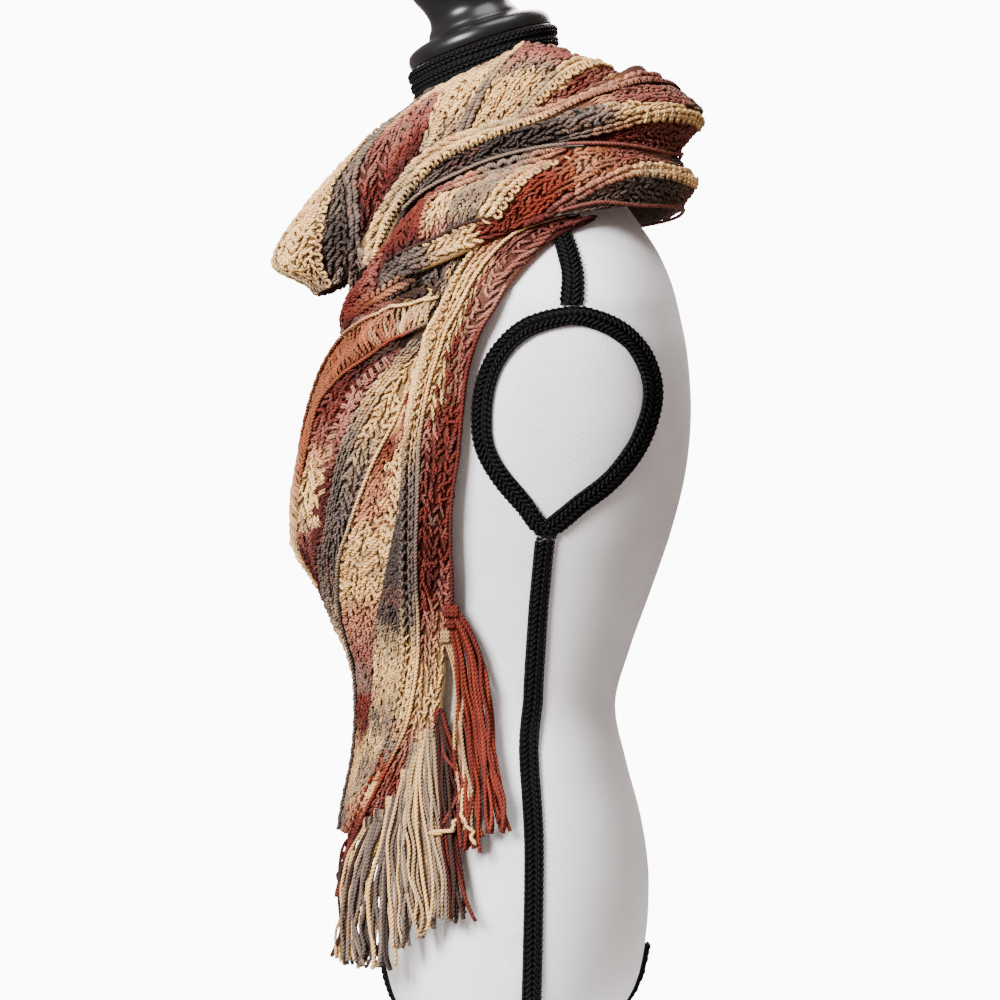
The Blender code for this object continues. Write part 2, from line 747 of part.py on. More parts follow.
def make_fringe(name, rows, edge_top, fold, fringe, strands, side, finish):
    """A narrow strip along the tail's edge with strands drawn out of its outer face."""
    ends = smooth_table(fringe, FRINGE_COLUMNS, "share")
    count = 2 * strands
    frames = edge_frames(edge_legs(rows, edge_top), fold, count - 1)
    points, faces = [], []
    half = WALL / 2
    for middle, away, normal, *_ in frames:
        near, far = middle + away * STRIP_GAP, middle + away * (STRIP_GAP + STRIP_WIDTH)
        points += [near - normal * half, far - normal * half, far + normal * half, near + normal * half]
    for k in range(count - 1):
        a, b = 4 * k, 4 * (k + 1)
        faces += [(a, b, b + 1, a + 1), (a + 2, b + 2, b + 3, a + 3), (a + 3, b + 3, b, a)]
        if k % 2:
            faces.append((a + 1, b + 1, b + 2, a + 2))
            continue
        share = k / (count - 2)
        layer = fold - RIB_RAISE - half + LAYER_DEPTH * (1 if k % 4 else -1)
        root = tuple((frames[k][i] + frames[k + 1][i]) / 2 for i in range(5))
        ring = [a + 1, b + 1, b + 2, a + 2]
        for new in strand_rings(root, ends(share), layer):
            start = len(points)
            points += new
            fresh = list(range(start, start + 4))
            for i in range(4):
                j = (i + 1) % 4
                faces.append((ring[i], ring[j], fresh[j], fresh[i]))
            ring = fresh
        faces.append(tuple(ring))
    last = 4 * (count - 1)
    faces += [(0, 1, 2, 3), (last + 3, last + 2, last + 1, last)]
    points = [Vector((p.x * side, p.y, p.z)) for p in points]
    return add_solid(name, points, faces, finish)


def clear_scene():
    for old in list(bpy.data.objects):
        bpy.data.objects.remove(old)


def build():
    clear_scene()
    linen = material("linen_white", (0.80, 0.78, 0.74), 0.85)
    wood = material("wood_black", (0.012, 0.011, 0.011), 0.35)
    braid = material("braid_black", (0.010, 0.010, 0.011), 0.9)
    cream = material("yarn_cream", (0.78, 0.62, 0.42), 0.95)
    rust = material("yarn_rust", (0.42, 0.10, 0.05), 0.95)
    peach = material("yarn_peach", (0.62, 0.34, 0.24), 0.95)
    maroon = material("yarn_maroon", (0.16, 0.03, 0.03), 0.95)
    make_torso(linen)
    make_cap(wood)
    make_base(wood)
    make_braids(braid)
    make_wound("wrap_inner", INNER_WRAP, INNER_COLUMNS, INNER_RIBS, RIGHT_DIP, cream)
    make_wound("wrap_outer_upper", UPPER_ROLL, ROLL_COLUMNS, UPPER_RIBS, RIGHT_DIP, peach)
    make_wound("wrap_outer_lower", LOWER_ROLL, ROLL_COLUMNS, LOWER_RIBS, RIGHT_DIP, rust)
    make_tail("tail_left", LEFT_TAIL, LEFT_RIBS, LEFT_FOLDS, LEFT_STEPS, 1, maroon)
    make_tail("tail_right", RIGHT_TAIL, RIGHT_RIBS, RIGHT_FOLDS, RIGHT_STEPS, -1, peach)
    make_fringe("fringe_left", LEFT_TAIL, LEFT_EDGE_TOP, LEFT_FOLDS[0], LEFT_FRINGE,
                LEFT_STRANDS, 1, cream)
    make_fringe("fringe_right", RIGHT_TAIL, RIGHT_TAIL[-1][0], RIGHT_FOLDS[0], RIGHT_FRINGE,
                RIGHT_STRANDS, -1, cream)


build()
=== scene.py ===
"""Looks of a ribbed crochet scarf wound twice round a limbless dress form.

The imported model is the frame: its form, cap, foot and braids are kept and given
better finishes, and each stretch of cloth is replaced by a thin creased shell with
the crochet stitches laid on it as separate yarn loops.  Sizes are in millimetres.

A cloth surface is a grid over two ways, s and t.  On a wound stretch s is the
azimuth round the neck (0 = left side, 90 = back, -90 = front) and t runs from the
upper to the lower edge.  On a tail s is the height and t counts rib lines from the
back edge to the front edge.  A row of stitches lies between two lines on it.

Tables are written as text.  Points are parted by commas, and entries of a list end
with a semicolon, their names and numbers before a colon.
"""
import math

import bpy
import numpy as np
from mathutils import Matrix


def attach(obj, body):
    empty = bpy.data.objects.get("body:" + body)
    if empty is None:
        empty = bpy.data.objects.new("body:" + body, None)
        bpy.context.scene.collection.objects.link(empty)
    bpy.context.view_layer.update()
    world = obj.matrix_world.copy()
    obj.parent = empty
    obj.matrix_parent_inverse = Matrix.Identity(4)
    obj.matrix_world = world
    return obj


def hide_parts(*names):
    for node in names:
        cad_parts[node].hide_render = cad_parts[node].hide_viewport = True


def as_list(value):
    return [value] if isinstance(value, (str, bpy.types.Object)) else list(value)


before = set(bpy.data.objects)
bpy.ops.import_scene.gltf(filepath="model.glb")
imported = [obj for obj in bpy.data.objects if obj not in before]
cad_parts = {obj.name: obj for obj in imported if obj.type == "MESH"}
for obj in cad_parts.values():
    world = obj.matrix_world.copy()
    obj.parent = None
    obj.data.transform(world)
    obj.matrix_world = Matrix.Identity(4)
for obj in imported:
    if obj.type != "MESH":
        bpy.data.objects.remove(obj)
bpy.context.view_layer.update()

MM = 0.001
RNG = np.random.default_rng(11)


# ------------------------------------------------------------------ reading tables
def read_points(text):
    return tuple(tuple(map(float, spot.split())) for spot in text.split(","))


def read_entries(text):
    """The words before each entry's colon, and the text after it."""
    for entry in text.split(";")[:-1]:
        head, _, body = entry.partition(":")
        yield head.split(), body


def read_stops(text):
    """Colour stops: a place along the row and the name of a dye."""
    return [(float(at), name) for at, name in map(str.split, text.split(","))]


def read_notch(text):
    """A notched edge: its side, reach and period, and the colours inside it."""
    head, _, stops = text.partition(":")
    return (*map(float, head.split()), read_stops(stops)) if stops else None


# ---------------------------------------------------------- tables of the dress form
# A ring: front y and z, back y and z, share of the depth at which it is widest, half
# width, and how square each half is.
TORSO_RINGS = read_points("""
-72 26 58 26 .52 104 2.1 2.1, -98 44 82 44 .52 140 2.1 2.1, -110 70 98 70 .52 160 2.1 2.1,
-115 110 106 110 .52 166 2.1 2.1, -112 152 108 152 .52 162 2.1 2.1, -106 202 102 202 .52 148 2.1 2.1,
-100 252 89 252 .52 128 2.1 2.1, -97 298 80 298 .52 117 2.1 2.1, -101 345 92 345 .52 121 2.1 2.1,
-113 395 110 395 .52 132 2.1 2.1, -128 445 127 445 .53 146 2.1 2.2, -138 495 139 495 .55 158 2.1 2.3,
-135 545 143 545 .58 166 2.2 2.4, -126 590 140 590 .61 170 2.2 2.4, -116 622 134 622 .63 170 2.2 2.3,
-107 650 127 650 .64 160 2.1 2.2, -97 672 115 678 .63 143 2.1 2.1, -89 694 98 704 .61 118 2 2,
-83 716 78 732 .58 94 2 2, -80 742 56 763 .54 74 2 2, -79 770 40 806 .51 62 2 2, -83 800 29 840 .5 58 2 2,
-91 829 27 869 .5 57 2 2""")
LAST_RING = len(TORSO_RINGS) - 1
BUST_HEIGHT = 488
BUST_SPREAD = 74
BUST_DEPTH = 12
BUST_RADIUS = 46
COVER_LEVELS = 170
COVER_SIDES = 168
TURNED_SIDES = 72
# Turned cap on the neck: radius and height along the neck's axis.
CAP_PROFILE = read_points("""
61.5 0, 62.5 5, 60.5 11, 54 15, 42 18, 39 23, 35.5 29, 34.5 35, 36.5 44, 41 54, 43.5 64, 41 76, 31 88,
16 95""")
CAP_TOP = 97
# Turned foot under the form: radius and height.
FOOT_PROFILE = read_points("""
108 0, 110 4, 108 10, 98 14, 92 19, 90 25.7""")
FOOT_TOP = 25.7
# Braids on the form: y and z of the armhole loop from its top forwards, the seam down
# the side and the one low on front and back, then the rings where the others lie.
ARMHOLE = read_points("""
40 616, 7 608, -15 589, -27 565, -31 537, -29 514, -17 490, 3 466, 20 448, 47 468, 72 488, 94 518,
104 553, 98 581, 82 601, 62 612""")
SIDE_SEAM = read_points("""
19 437, 14 385, 9 308, 6 268, 10 199, 9 119, 8 71, 8 42""")
MIDDLE_SEAM = ((0, 42), (0, 98))
SHOULDER_RINGS = (14.09, 20.9)
NECK_BRAID_RINGS = (21.05, 21.97)
BRAID_WIDTH = 15
GIMP_LIFT = 3.4
GIMP_SHADE = np.array([0.0024, 0.0022, 0.0026])

# -------------------------------------------------------- tables of the cloth's form
# The neck's middle, the thickness of the cloth's wall and of its ribs, how deep the shell
# lies under the stitches and how many grid places a face of it spans along a row.
NECK_AXIS_Y = 10
WALL = 3.5
RIB_RAISE = 3.0
GROUND_DEPTH = 2.9
GROUND_STEP = 2
# How much the right side of a wound stretch is dipped.
RIGHT_DIP = -2
# A tail's grid: the step down it and the columns to a rib line.
TAIL_STEP = 3.0
TAIL_COLUMNS = 8
# Faces with more corners than this stay flat.
BIGGEST_SMOOTH_FACE = 8
# A section of a wound stretch: azimuth, then radius and height from edge to edge.
INNER_WRAP = read_points("""
-90 104 794 157 757 219 674 184 642, -83 103 796 154 758 212 675 180 643,
-78 102 798 149 761 197 678 170 648, -74 101 800 140 768 165 696 146 662,
-68 100 804 128 778 139 720 132 680, -60 99 809 116 792 127 750 122 714,
-45 92 818 104 806 113 778 111 738, -25 84 831 96 820 103 794 101 752, 0 78 846 91 834 98 808 96 768,
30 80 836 92 826 98 806 94 780, 60 82 826 92 818 99 802 96 786, 90 84 822 93 815 100 800 97 784""")
UPPER_ROLL = read_points("""
-90 144 636 152 629 151 620, -82 146 640 154 632 153 622, -78 148 645 156 636 154 626,
-74 151 661 159 647 156 634, -68 152 688 161 670 158 652, -60 138 722 156 694 157 661,
-45 122 760 145 737 146 708, -25 111 775.5 133 758 132 736, 0 105 788 131 772 126 753,
30 103.6 810 135 786 130 758, 60 99 831 141 793 130 755, 90 96 834 145 794 125 760""")
LOWER_ROLL = read_points("""
-90 149 618 160 609 158 598, -82 151 620 162 611 160 600, -74 154 632 166 620 164 606,
-68 155 650 168 634 167 617, -60 154 658 168 644 168 626, -45 143 706 165 676 169 643,
-25 129 735.2 157 701 163.4 664, 0 123 752.5 151 722 150.2 691, 30 127 758.4 149 733 141 706,
60 127 754 143 733 134 711, 90 122 759 138 735 126 712""")
# What the tails hang over: z, half width, front y, widest y, squareness.
DRAPE = read_points("""
60 172 -152 0 2.1, 110 178 -155 0 2.1, 152 174 -156 0 2.1, 185 166 -152 0 2.1, 218 156 -147 0 2.1,
252 143 -140 0 2.1, 298 131 -137 0 2.1, 336 131 -142 2 2.1, 370 138 -157 4 2.1, 403 147 -173 6 2.1,
437 156 -190 8 2.1, 470 165 -191 12 2.1, 504 171 -187 18 2.1, 538 176 -180 25 2.1, 571 180 -170 31 2.1,
605 182 -160 37 2.1, 630 178 -148 41 2.1, 655 168 -134 43 2.1, 680 152.8 -122 40 2.1, 705 126.8 -113 34 2""")
BACK_REACH = 0.62
# A tail: z, back y, ridge y, fold angle, front angle.
LEFT_TAIL = read_points("""
700 62 18 22 30, 684 30 -20 29 36, 664 8 -42 33 42, 644 -9 -54 35 46, 622 -22 -64 38 62,
605 -32 -73 40 72, 590 -38 -77 42 80, 571 -43 -82 45 92, 538 -47 -86 48 104, 504 -50 -88 53 109,
470 -55 -88 56 113, 437 -56 -88 60 115, 403 -55 -87 74 117, 381 -55 -86 84 118, 353 -61 -86 90 118,
319 -64 -90 93 117, 286 -70 -97 94 116, 252 -89 -111 94 114, 218 -107 -127 95 112, 193 -126 -136 95 110""")
# Rib lines in each part, how far each line stands out, and how its folds deepen.
LEFT_RIBS = (2, 3, 5)
LEFT_FOLDS = (-1, 1, 4, -6, -1, 3, -4, 3, -3, 2, -3)
LEFT_STEPS = 26
RIGHT_TAIL = read_points("""
700 56 18 20 27, 664 6 -36 31 40, 622 -20 -58 37 47, 571 -36 -76 42 52, 504 -44 -86 46 56,
437 -46 -88 46 56, 370 -44 -82 46 56, 325 -40 -76 45 55""")
RIGHT_RIBS = (2, 3, 3)
RIGHT_FOLDS = (0, 2, 3, -5, 2, -4, 3, -3, -1)
RIGHT_STEPS = 16

# ------------------------------------------------------------------- yarn colours
# Reflectances, as linear light.
HUES = {name: np.array(value) for name, value in {
    "cream": (0.90, 0.535, 0.215), "ecru": (0.47, 0.31, 0.165), "peach": (0.53, 0.22, 0.112),
    "orange": (0.26, 0.075, 0.031), "rust": (0.235, 0.034, 0.016), "brick": (0.150, 0.024, 0.016),
    "rose": (0.27, 0.084, 0.062), "pink": (0.43, 0.175, 0.118), "maroon": (0.078, 0.0155, 0.0135),
    "taupe": (0.225, 0.153, 0.112), "grey": (0.128, 0.094, 0.078), "dark": (0.064, 0.046, 0.039),
    "umber": (0.055, 0.027, 0.020),
}.items()}

# ------------------------------------------------------------ rows of stitches
# Lines over the cloth by (s, t): U on the inner stretch, V on the upper roll, W on the
# lower roll and T on the left tail.
LINES = {head[0]: read_points(body) for head, body in read_entries("""
U_FRONT: -90 0, -90 1;
U_CORD: -82 0, -84 .3, -84.5 .6, -84.5 1;
U_BEADS: -70 0, -77 .2, -78.5 .445, -77.1 .509, -76.7 .56, -76.2 .643, -76.4 .753, -77.7 .862, -79 1;
U_TAUPE_L: -62 0, -72 .2, -76.2 .398, -75.8 .458, -74.1 .555, -72.9 .671, -73.4 .778, -75.3 .896, -76.5 1;
U_TAUPE_R: -55 0, -66 .2, -73.2 .395, -73.3 .469, -71.8 .575, -71 .684, -71.9 .797, -73 1;
U_RUST_R: -30 0, -42 .25, -46.4 .402, -48.1 .554, -49.7 .691, -53.6 .8, -58 1;
U_DIAG_L: -10 0, -18 .25, -25.3 .509, -31.1 .69, -34.8 .79, -44 1;
U_DIAG_R: -3 0, -11 .25, -18.8 .5, -24.7 .692, -28.5 .797, -37 1;
U_CREAM_L: 42 0, 19.7 .283, 10.9 .475, 5.8 .611, -1.4 .746, -8.6 .829, -20 1;
U_CREAM_R: 52 0, 38.7 .15, 22.9 .441, 12 .62, 5.7 .729, -1.4 .829, -13 1;
U_WEDGE_R: 66 0, 60.6 .047, 34.6 .542, 18 .752, 5.8 .9, 0 1;
U_BACK: 90 0, 90 1;
V_TOP: -90 0, -62 0, 0 0, 90 0;
V_ONE_U: -64 .95, -62.6 .87, -62.4 .64, -60 .48, -54 .45, -49 .36, -45 .22, -39.2 .046, -31.2 .023,
    -5.7 .016, 3 .044, 11.7 .073, 30.6 .069, 42.9 .054, 57.8 .076, 90 .08;
V_ONE_L: -54 .99, -52.5 .966, -50.4 .895, -46.5 .879, -41.9 .855, -36.6 .743, -29.6 .64, -22.5 .638,
    -15.3 .611, -8.2 .521, -1.2 .48, 6.1 .392, 12 .309, 18.8 .221, 28.2 .19, 39 .19, 50.6 .2, 62.4 .23,
    90 .26;
V_THREE_U: 14.1 .32, 25.6 .332, 40.7 .411, 55 .434, 66.5 .484, 90 .5;
V_TWO_U: 14.1 .29, 18.8 .24, 28.2 .2, 39 .2, 50.6 .21, 62.4 .24, 90 .27;
V_TAUPE_U: 9.7 .876, 20.3 .774, 31.2 .672, 41.1 .577, 53.2 .505, 65.8 .508, 90 .6;
V_TAUPE_L: 9.8 .971, 20.7 .915, 30.2 .846, 39.9 .737, 50.9 .665, 66.7 .657, 90 .72;
V_GREY_U: -48 .9, -41.9 .865, -36.6 .76, -29.6 .66, -22.5 .65, -15.3 .62, -8.2 .53, -1.2 .49, 6.1 .4,
    14.1 .32;
V_GREY_L: -48 .985, -36 .985, -20 .985, 0 .98, 9.7 .876, 16 .8;
V_GREY_B: 14.1 .34, 25.6 .34, 40.7 .42, 55 .45, 66.5 .49, 90 .52;
V_LOW: 9.8 .985, 30 .985, 60 .985, 90 .985;
V_LOW_A: -90 .985, -64 .985, -54 .985;
V_FRONT_U: -90 .05, -75 .05, -68 .1, -65 .5, -64 .9;
W_TOP: -42 .015, -20 .015, 0 .015, 12 .015;
W_TOP_L: -42 .1, -39.6 .104, -32.5 .123, -25 .183, -17.9 .223, -11 .263, -4.5 .211, 4 .19, 12 .09;
W_STEEP_0: -45 .05, -47 .3, -46 .7;
W_STEEP_1: -33.4 .11, -36 .16, -34.8 .374, -33.4 .687;
W_STEEP_2: -23.6 .19, -25.8 .259, -26.3 .462, -25.4 .72;
W_LADDER_L: 2.4 .2, -7.2 .26, -12.9 .398, -17 .652;
W_LADDER_R: 8.1 .24, 6.1 .268, -1.7 .369, -7 .549, -11.7 .772;
W_RUST_A: 64 .05, 40 .03, 20 .04, 12 .1, 8 .24, 6.1 .268, -1.7 .369, -7 .549, -11.7 .772, -12 .93;
W_RUST_B: 70 .19, 51.5 .163, 39.3 .227, 28.5 .392, 20.8 .556, 12.8 .69, 6.6 .797, .4 .95, -5 .985;
W_CREASE: -46 .72, -41.9 .701, -30.6 .731, -21.6 .7, -15.8 .73, -10 .86;
W_CREASE_L: -50 .985, -40 .985, -20 .985, -8 .985;
W_PINK_U: -5.6 .985, .4 .96, 6.6 .797, 12.8 .69, 20.8 .556, 28.5 .392, 39.3 .227, 51.5 .163, 70 .2,
    90 .22;
W_PINK_L: 3 .985, 13.1 .874, 21.1 .733, 27.8 .624, 37.6 .513, 50.3 .501, 66.5 .565, 90 .58;
W_LOW: 8 .985, 21 .985, 40 .985, 66 .985, 90 .985;
W_BACK_U: 60 .03, 72 .03, 90 .03;
W_BACK_L: 60 .15, 72 .18, 90 .2;
W_FRONT_A: -90 .03, -70 .03, -46 .03;
W_FRONT_B: -90 .5, -70 .5, -48 .45;
W_FRONT_C: -90 .985, -70 .985, -51 .985;
T_BACK: 700 .08, 193 .08;
T_1: 700 .95, 640 .9, 605 .66, 580 .5, 557 .48, 533 .6, 510 .67, 470 .56, 438 .62, 410 .7, 390 .75,
    360 .55, 330 .55, 193 .55;
T_2: 700 1.25, 605 1.25, 580 1.28, 557 1.41, 533 1.54, 510 1.58, 470 1.57, 438 1.67, 410 1.7, 390 1.73,
    360 1.6, 330 1.53, 193 1.5;
T_3: 700 2.1, 640 1.98, 605 1.76, 580 1.77, 557 1.88, 533 2.03, 510 2.19, 470 2.27, 438 2.24, 390 2.25,
    360 2.23, 330 2.27, 300 2.33, 193 2.3;
T_4: 640 2.1, 593 2.2, 565 2.29, 542 2.4, 518 2.31, 470 2.25, 438 2.52, 413 2.66, 389 2.82, 364 3.09,
    338 3.35, 305 3.5, 260 3.7, 193 3.9;
T_5: 600 2.2, 580 2.3, 557 2.45, 538 3, 516 3.3, 494 3.53, 472 3.71, 458 3.86, 441 3.98, 413 4.05,
    388 4.02, 371 4.07, 354 4.2, 330 4.3, 300 4.4, 193 4.5;
T_6: 600 2.4, 580 3.56, 562 3.99, 544 4.4, 526 4.51, 506 4.45, 486 4.5, 446 4.54, 421 4.41, 396 4.36,
    379 4.3, 354 4.4, 330 4.5, 193 4.75;
T_7: 598 3.9, 594 4.16, 574 4.63, 562 5.07, 547 5.25, 530 5.3, 514 5.1, 498 4.93, 478 4.85, 437 4.86,
    404 4.82, 193 5.1;
T_8: 602 4.9, 598 5.41, 590 6.04, 582 6.34, 574 6.64, 566 6.78, 554 6.97, 540 6.91, 523 6.74, 507 6.67,
    490 6.6, 193 6.6;
T_ROLL_L: 612 3.2, 604 4.6, 598 5.41, 590 6.04, 582 6.34, 574 6.64, 566 6.78, 554 6.97, 540 6.91,
    523 6.74, 507 6.67, 490 6.6, 193 6.6;
T_ROLL_U: 632 3.6, 630 4.4, 627 6.8, 622 8.2, 616 8.9, 605 8.95, 585 8.9, 560 8.6, 530 8.4, 500 8.3,
    430 8.3, 193 8.3;
T_FRONT: 642 4.2, 640 6, 636 8, 626 9.9, 600 9.92, 500 9.92, 193 9.92;
T_SEAT_A: 690 2.2, 660 2.2, 640 2.2, 615 2.3;
T_SEAT_B: 690 5.5, 660 5.2, 642 4.6, 632 3.9;
T_SEAT_C: 690 9, 660 9, 648 8.6, 643 6.5;
U_CORD_1: -84.5 .58, -84.5 .7, -84 .82, -84 .97;
U_CORD_2: -60 .985, -40 .985, -10 .985;
V_TEETH_1: 40 .7, 50.9 .665, 66.7 .657, 78 .69;
V_CORD_1: -46 1, -20 1, 0 1, 12 1;
V_CORD_2: 12 1, 40 1, 90 1;
W_TEETH_1: 36 .53, 50.3 .52, 66.5 .58, 80 .6;
W_CORD_1: 8 .93, 14.8 .899, 21.7 .885, 29.6 .937, 38.5 1, 60 1, 90 1;
W_CORD_2: -42 .7, -30.6 .731, -21.6 .7, -15.8 .73;
T_TEETH_1: 470 5.2, 500 5.5, 530 5.9, 560 6, 585 5;
T_CORD_1: 640 .03, 560 .03, 450 .03, 385 .03;""")}
LINES["T_5_CORD"] = LINES["T_5"][2:]
LINES["T_ROLL_U_CORD"] = LINES["T_ROLL_U"][:13]
LINES["T_ROLL_L_CORD"] = LINES["T_ROLL_L"][:12]

# The work on each stretch, in order. A row: its kind, its two lines and which way its
# colours run (0 along s, 1 along t), then its colours, and after a bar its notched edge.
# Loops and teeth: line, which way, and side. A cord: line and how high it lies.
INNER_WORK = """
field U_FRONT U_CORD 1: 0 taupe, .25 cream, .88 cream, 1 taupe;
field U_CORD U_BEADS 1: 0 taupe, .3 cream, .82 cream, 1 grey;
field U_BEADS U_TAUPE_L 1: 0 taupe, .35 taupe, .5 grey, .6 dark, .85 dark, 1 taupe;
braid U_TAUPE_L U_TAUPE_R 1: 0 dark, .4 taupe, .7 grey, .9 dark, 1 umber;
field U_TAUPE_R U_RUST_R 1: 0 cream, .2 cream, .3 peach, .38 rose, .52 rose, .6 brick, .7 maroon, 1 umber;
field U_RUST_R U_DIAG_L 1: 0 rose, .12 ecru, .3 cream, .62 cream, .75 ecru, 1 taupe;
braid U_DIAG_L U_DIAG_R 1: 0 cream, .4 ecru, .55 taupe, 1 taupe;
field U_DIAG_R U_CREAM_L 1: 0 rose, .25 rose, .35 pink, .45 taupe, .55 cream, .8 cream, 1 peach;
braid U_CREAM_L U_CREAM_R 0: -20 ecru, 8 ecru, 20 cream, 55 cream;
field U_CREAM_R U_WEDGE_R 0: -15 pink, 0 peach, 14 rose, 24 brick, 36 rose, 60 rose | -1 .5 2.4:
    -15 cream, 60 cream;
field U_WEDGE_R U_BACK 0: -10 peach, 30 rose, 50 cream, 90 cream;
loops U_BEADS 1 1: 0 taupe, .35 cream, 1 cream;
loops U_CREAM_R 0 1: -20 cream, 55 cream;
cord U_CORD_1 .6: 0 ecru;
cord U_CORD_2 0: 0 taupe;"""
UPPER_WORK = """
braid V_ONE_U V_ONE_L 0: -64 cream, -54 cream, -48 ecru, -38 cream, -24 cream, -8 ecru, 8 peach, 22 peach,
    45 peach, 52 pink, 62 rose, 90 rose;
field V_TWO_U V_THREE_U 0: 14 peach, 27 peach, 36 rose, 62 rose, 76 taupe, 90 taupe;
field V_GREY_U V_GREY_L 0: -48 grey, -36 grey, -28 dark, 4 dark, 16 taupe;
field V_GREY_B V_TAUPE_U 0: 10 dark, 19 grey, 27 taupe, 34 cream, 90 cream;
braid V_TAUPE_U V_TAUPE_L 0: 9 dark, 20 taupe, 32 peach, 42 cream, 90 cream;
field V_TAUPE_L V_LOW 0: 9 umber, 22 maroon, 36 brick, 50 rose, 90 rose;
field V_FRONT_U V_LOW_A 0: -90 taupe, -80 cream, -75 taupe, -69 umber, -65 umber, -61 taupe;
loops V_ONE_L 0 1: -54 cream, -44 ecru, -38 cream, 6 cream, 12 peach, 40 pink, 60 rose, 90 maroon;
teeth V_TEETH_1 0 1: 40 cream, 90 cream;
cord V_CORD_1 .6: 0 taupe;
cord V_CORD_2 .6: 0 rose;"""
LOWER_WORK = """
braid W_TOP W_TOP_L 0: -42 brick, -34 rose, -27 pink, -22 peach, -15 taupe, -6 taupe, 2 peach, 12 rose;
field W_STEEP_0 W_STEEP_1 1: 0 rose, .12 brick, .45 brick, .6 maroon, .75 umber;
field W_STEEP_1 W_STEEP_2 1: 0 cream, .48 cream, .58 pink, .75 rose;
field W_STEEP_2 W_LADDER_L 1: 0 cream, .15 ecru, .4 taupe, .52 ecru, .65 grey, .8 umber;
braid W_LADDER_L W_LADDER_R 1: 0 orange, .22 peach, .4 cream, 1 cream;
field W_RUST_A W_RUST_B 0: -12 brick, 0 rust, 8 rust, 13 orange, 18 peach, 25 orange, 38 rose, 64 pink;
field W_CREASE W_CREASE_L 0: -50 grey, -44 dark, -37 grey, -33 taupe, -30 cream, -19 cream, -15 brick,
    -8 brick;
braid W_PINK_U W_PINK_L 0: -6 brick, 2 maroon, 11 rose, 18 pink, 30 peach, 38 cream, 90 cream;
field W_PINK_L W_LOW 0: 3 grey, 20 taupe, 32 grey, 58 grey, 68 taupe, 90 rose;
field W_BACK_U W_BACK_L 0: 60 taupe, 90 taupe;
field W_FRONT_A W_FRONT_B 0: -90 umber, -80 grey, -72 taupe, -67 brick, -48 brick;
field W_FRONT_B W_FRONT_C 0: -90 umber, -80 taupe, -70 brick, -60 brick, -50 rose;
loops W_STEEP_1 1 1: 0 peach, 1 peach;
loops W_LADDER_R 1 1: 0 cream, 1 cream;
teeth W_TEETH_1 0 1: 36 taupe, 55 cream, 90 cream;
cord W_CORD_1 .8: 0 rose;
cord W_CORD_2 -.5: 0 umber;"""
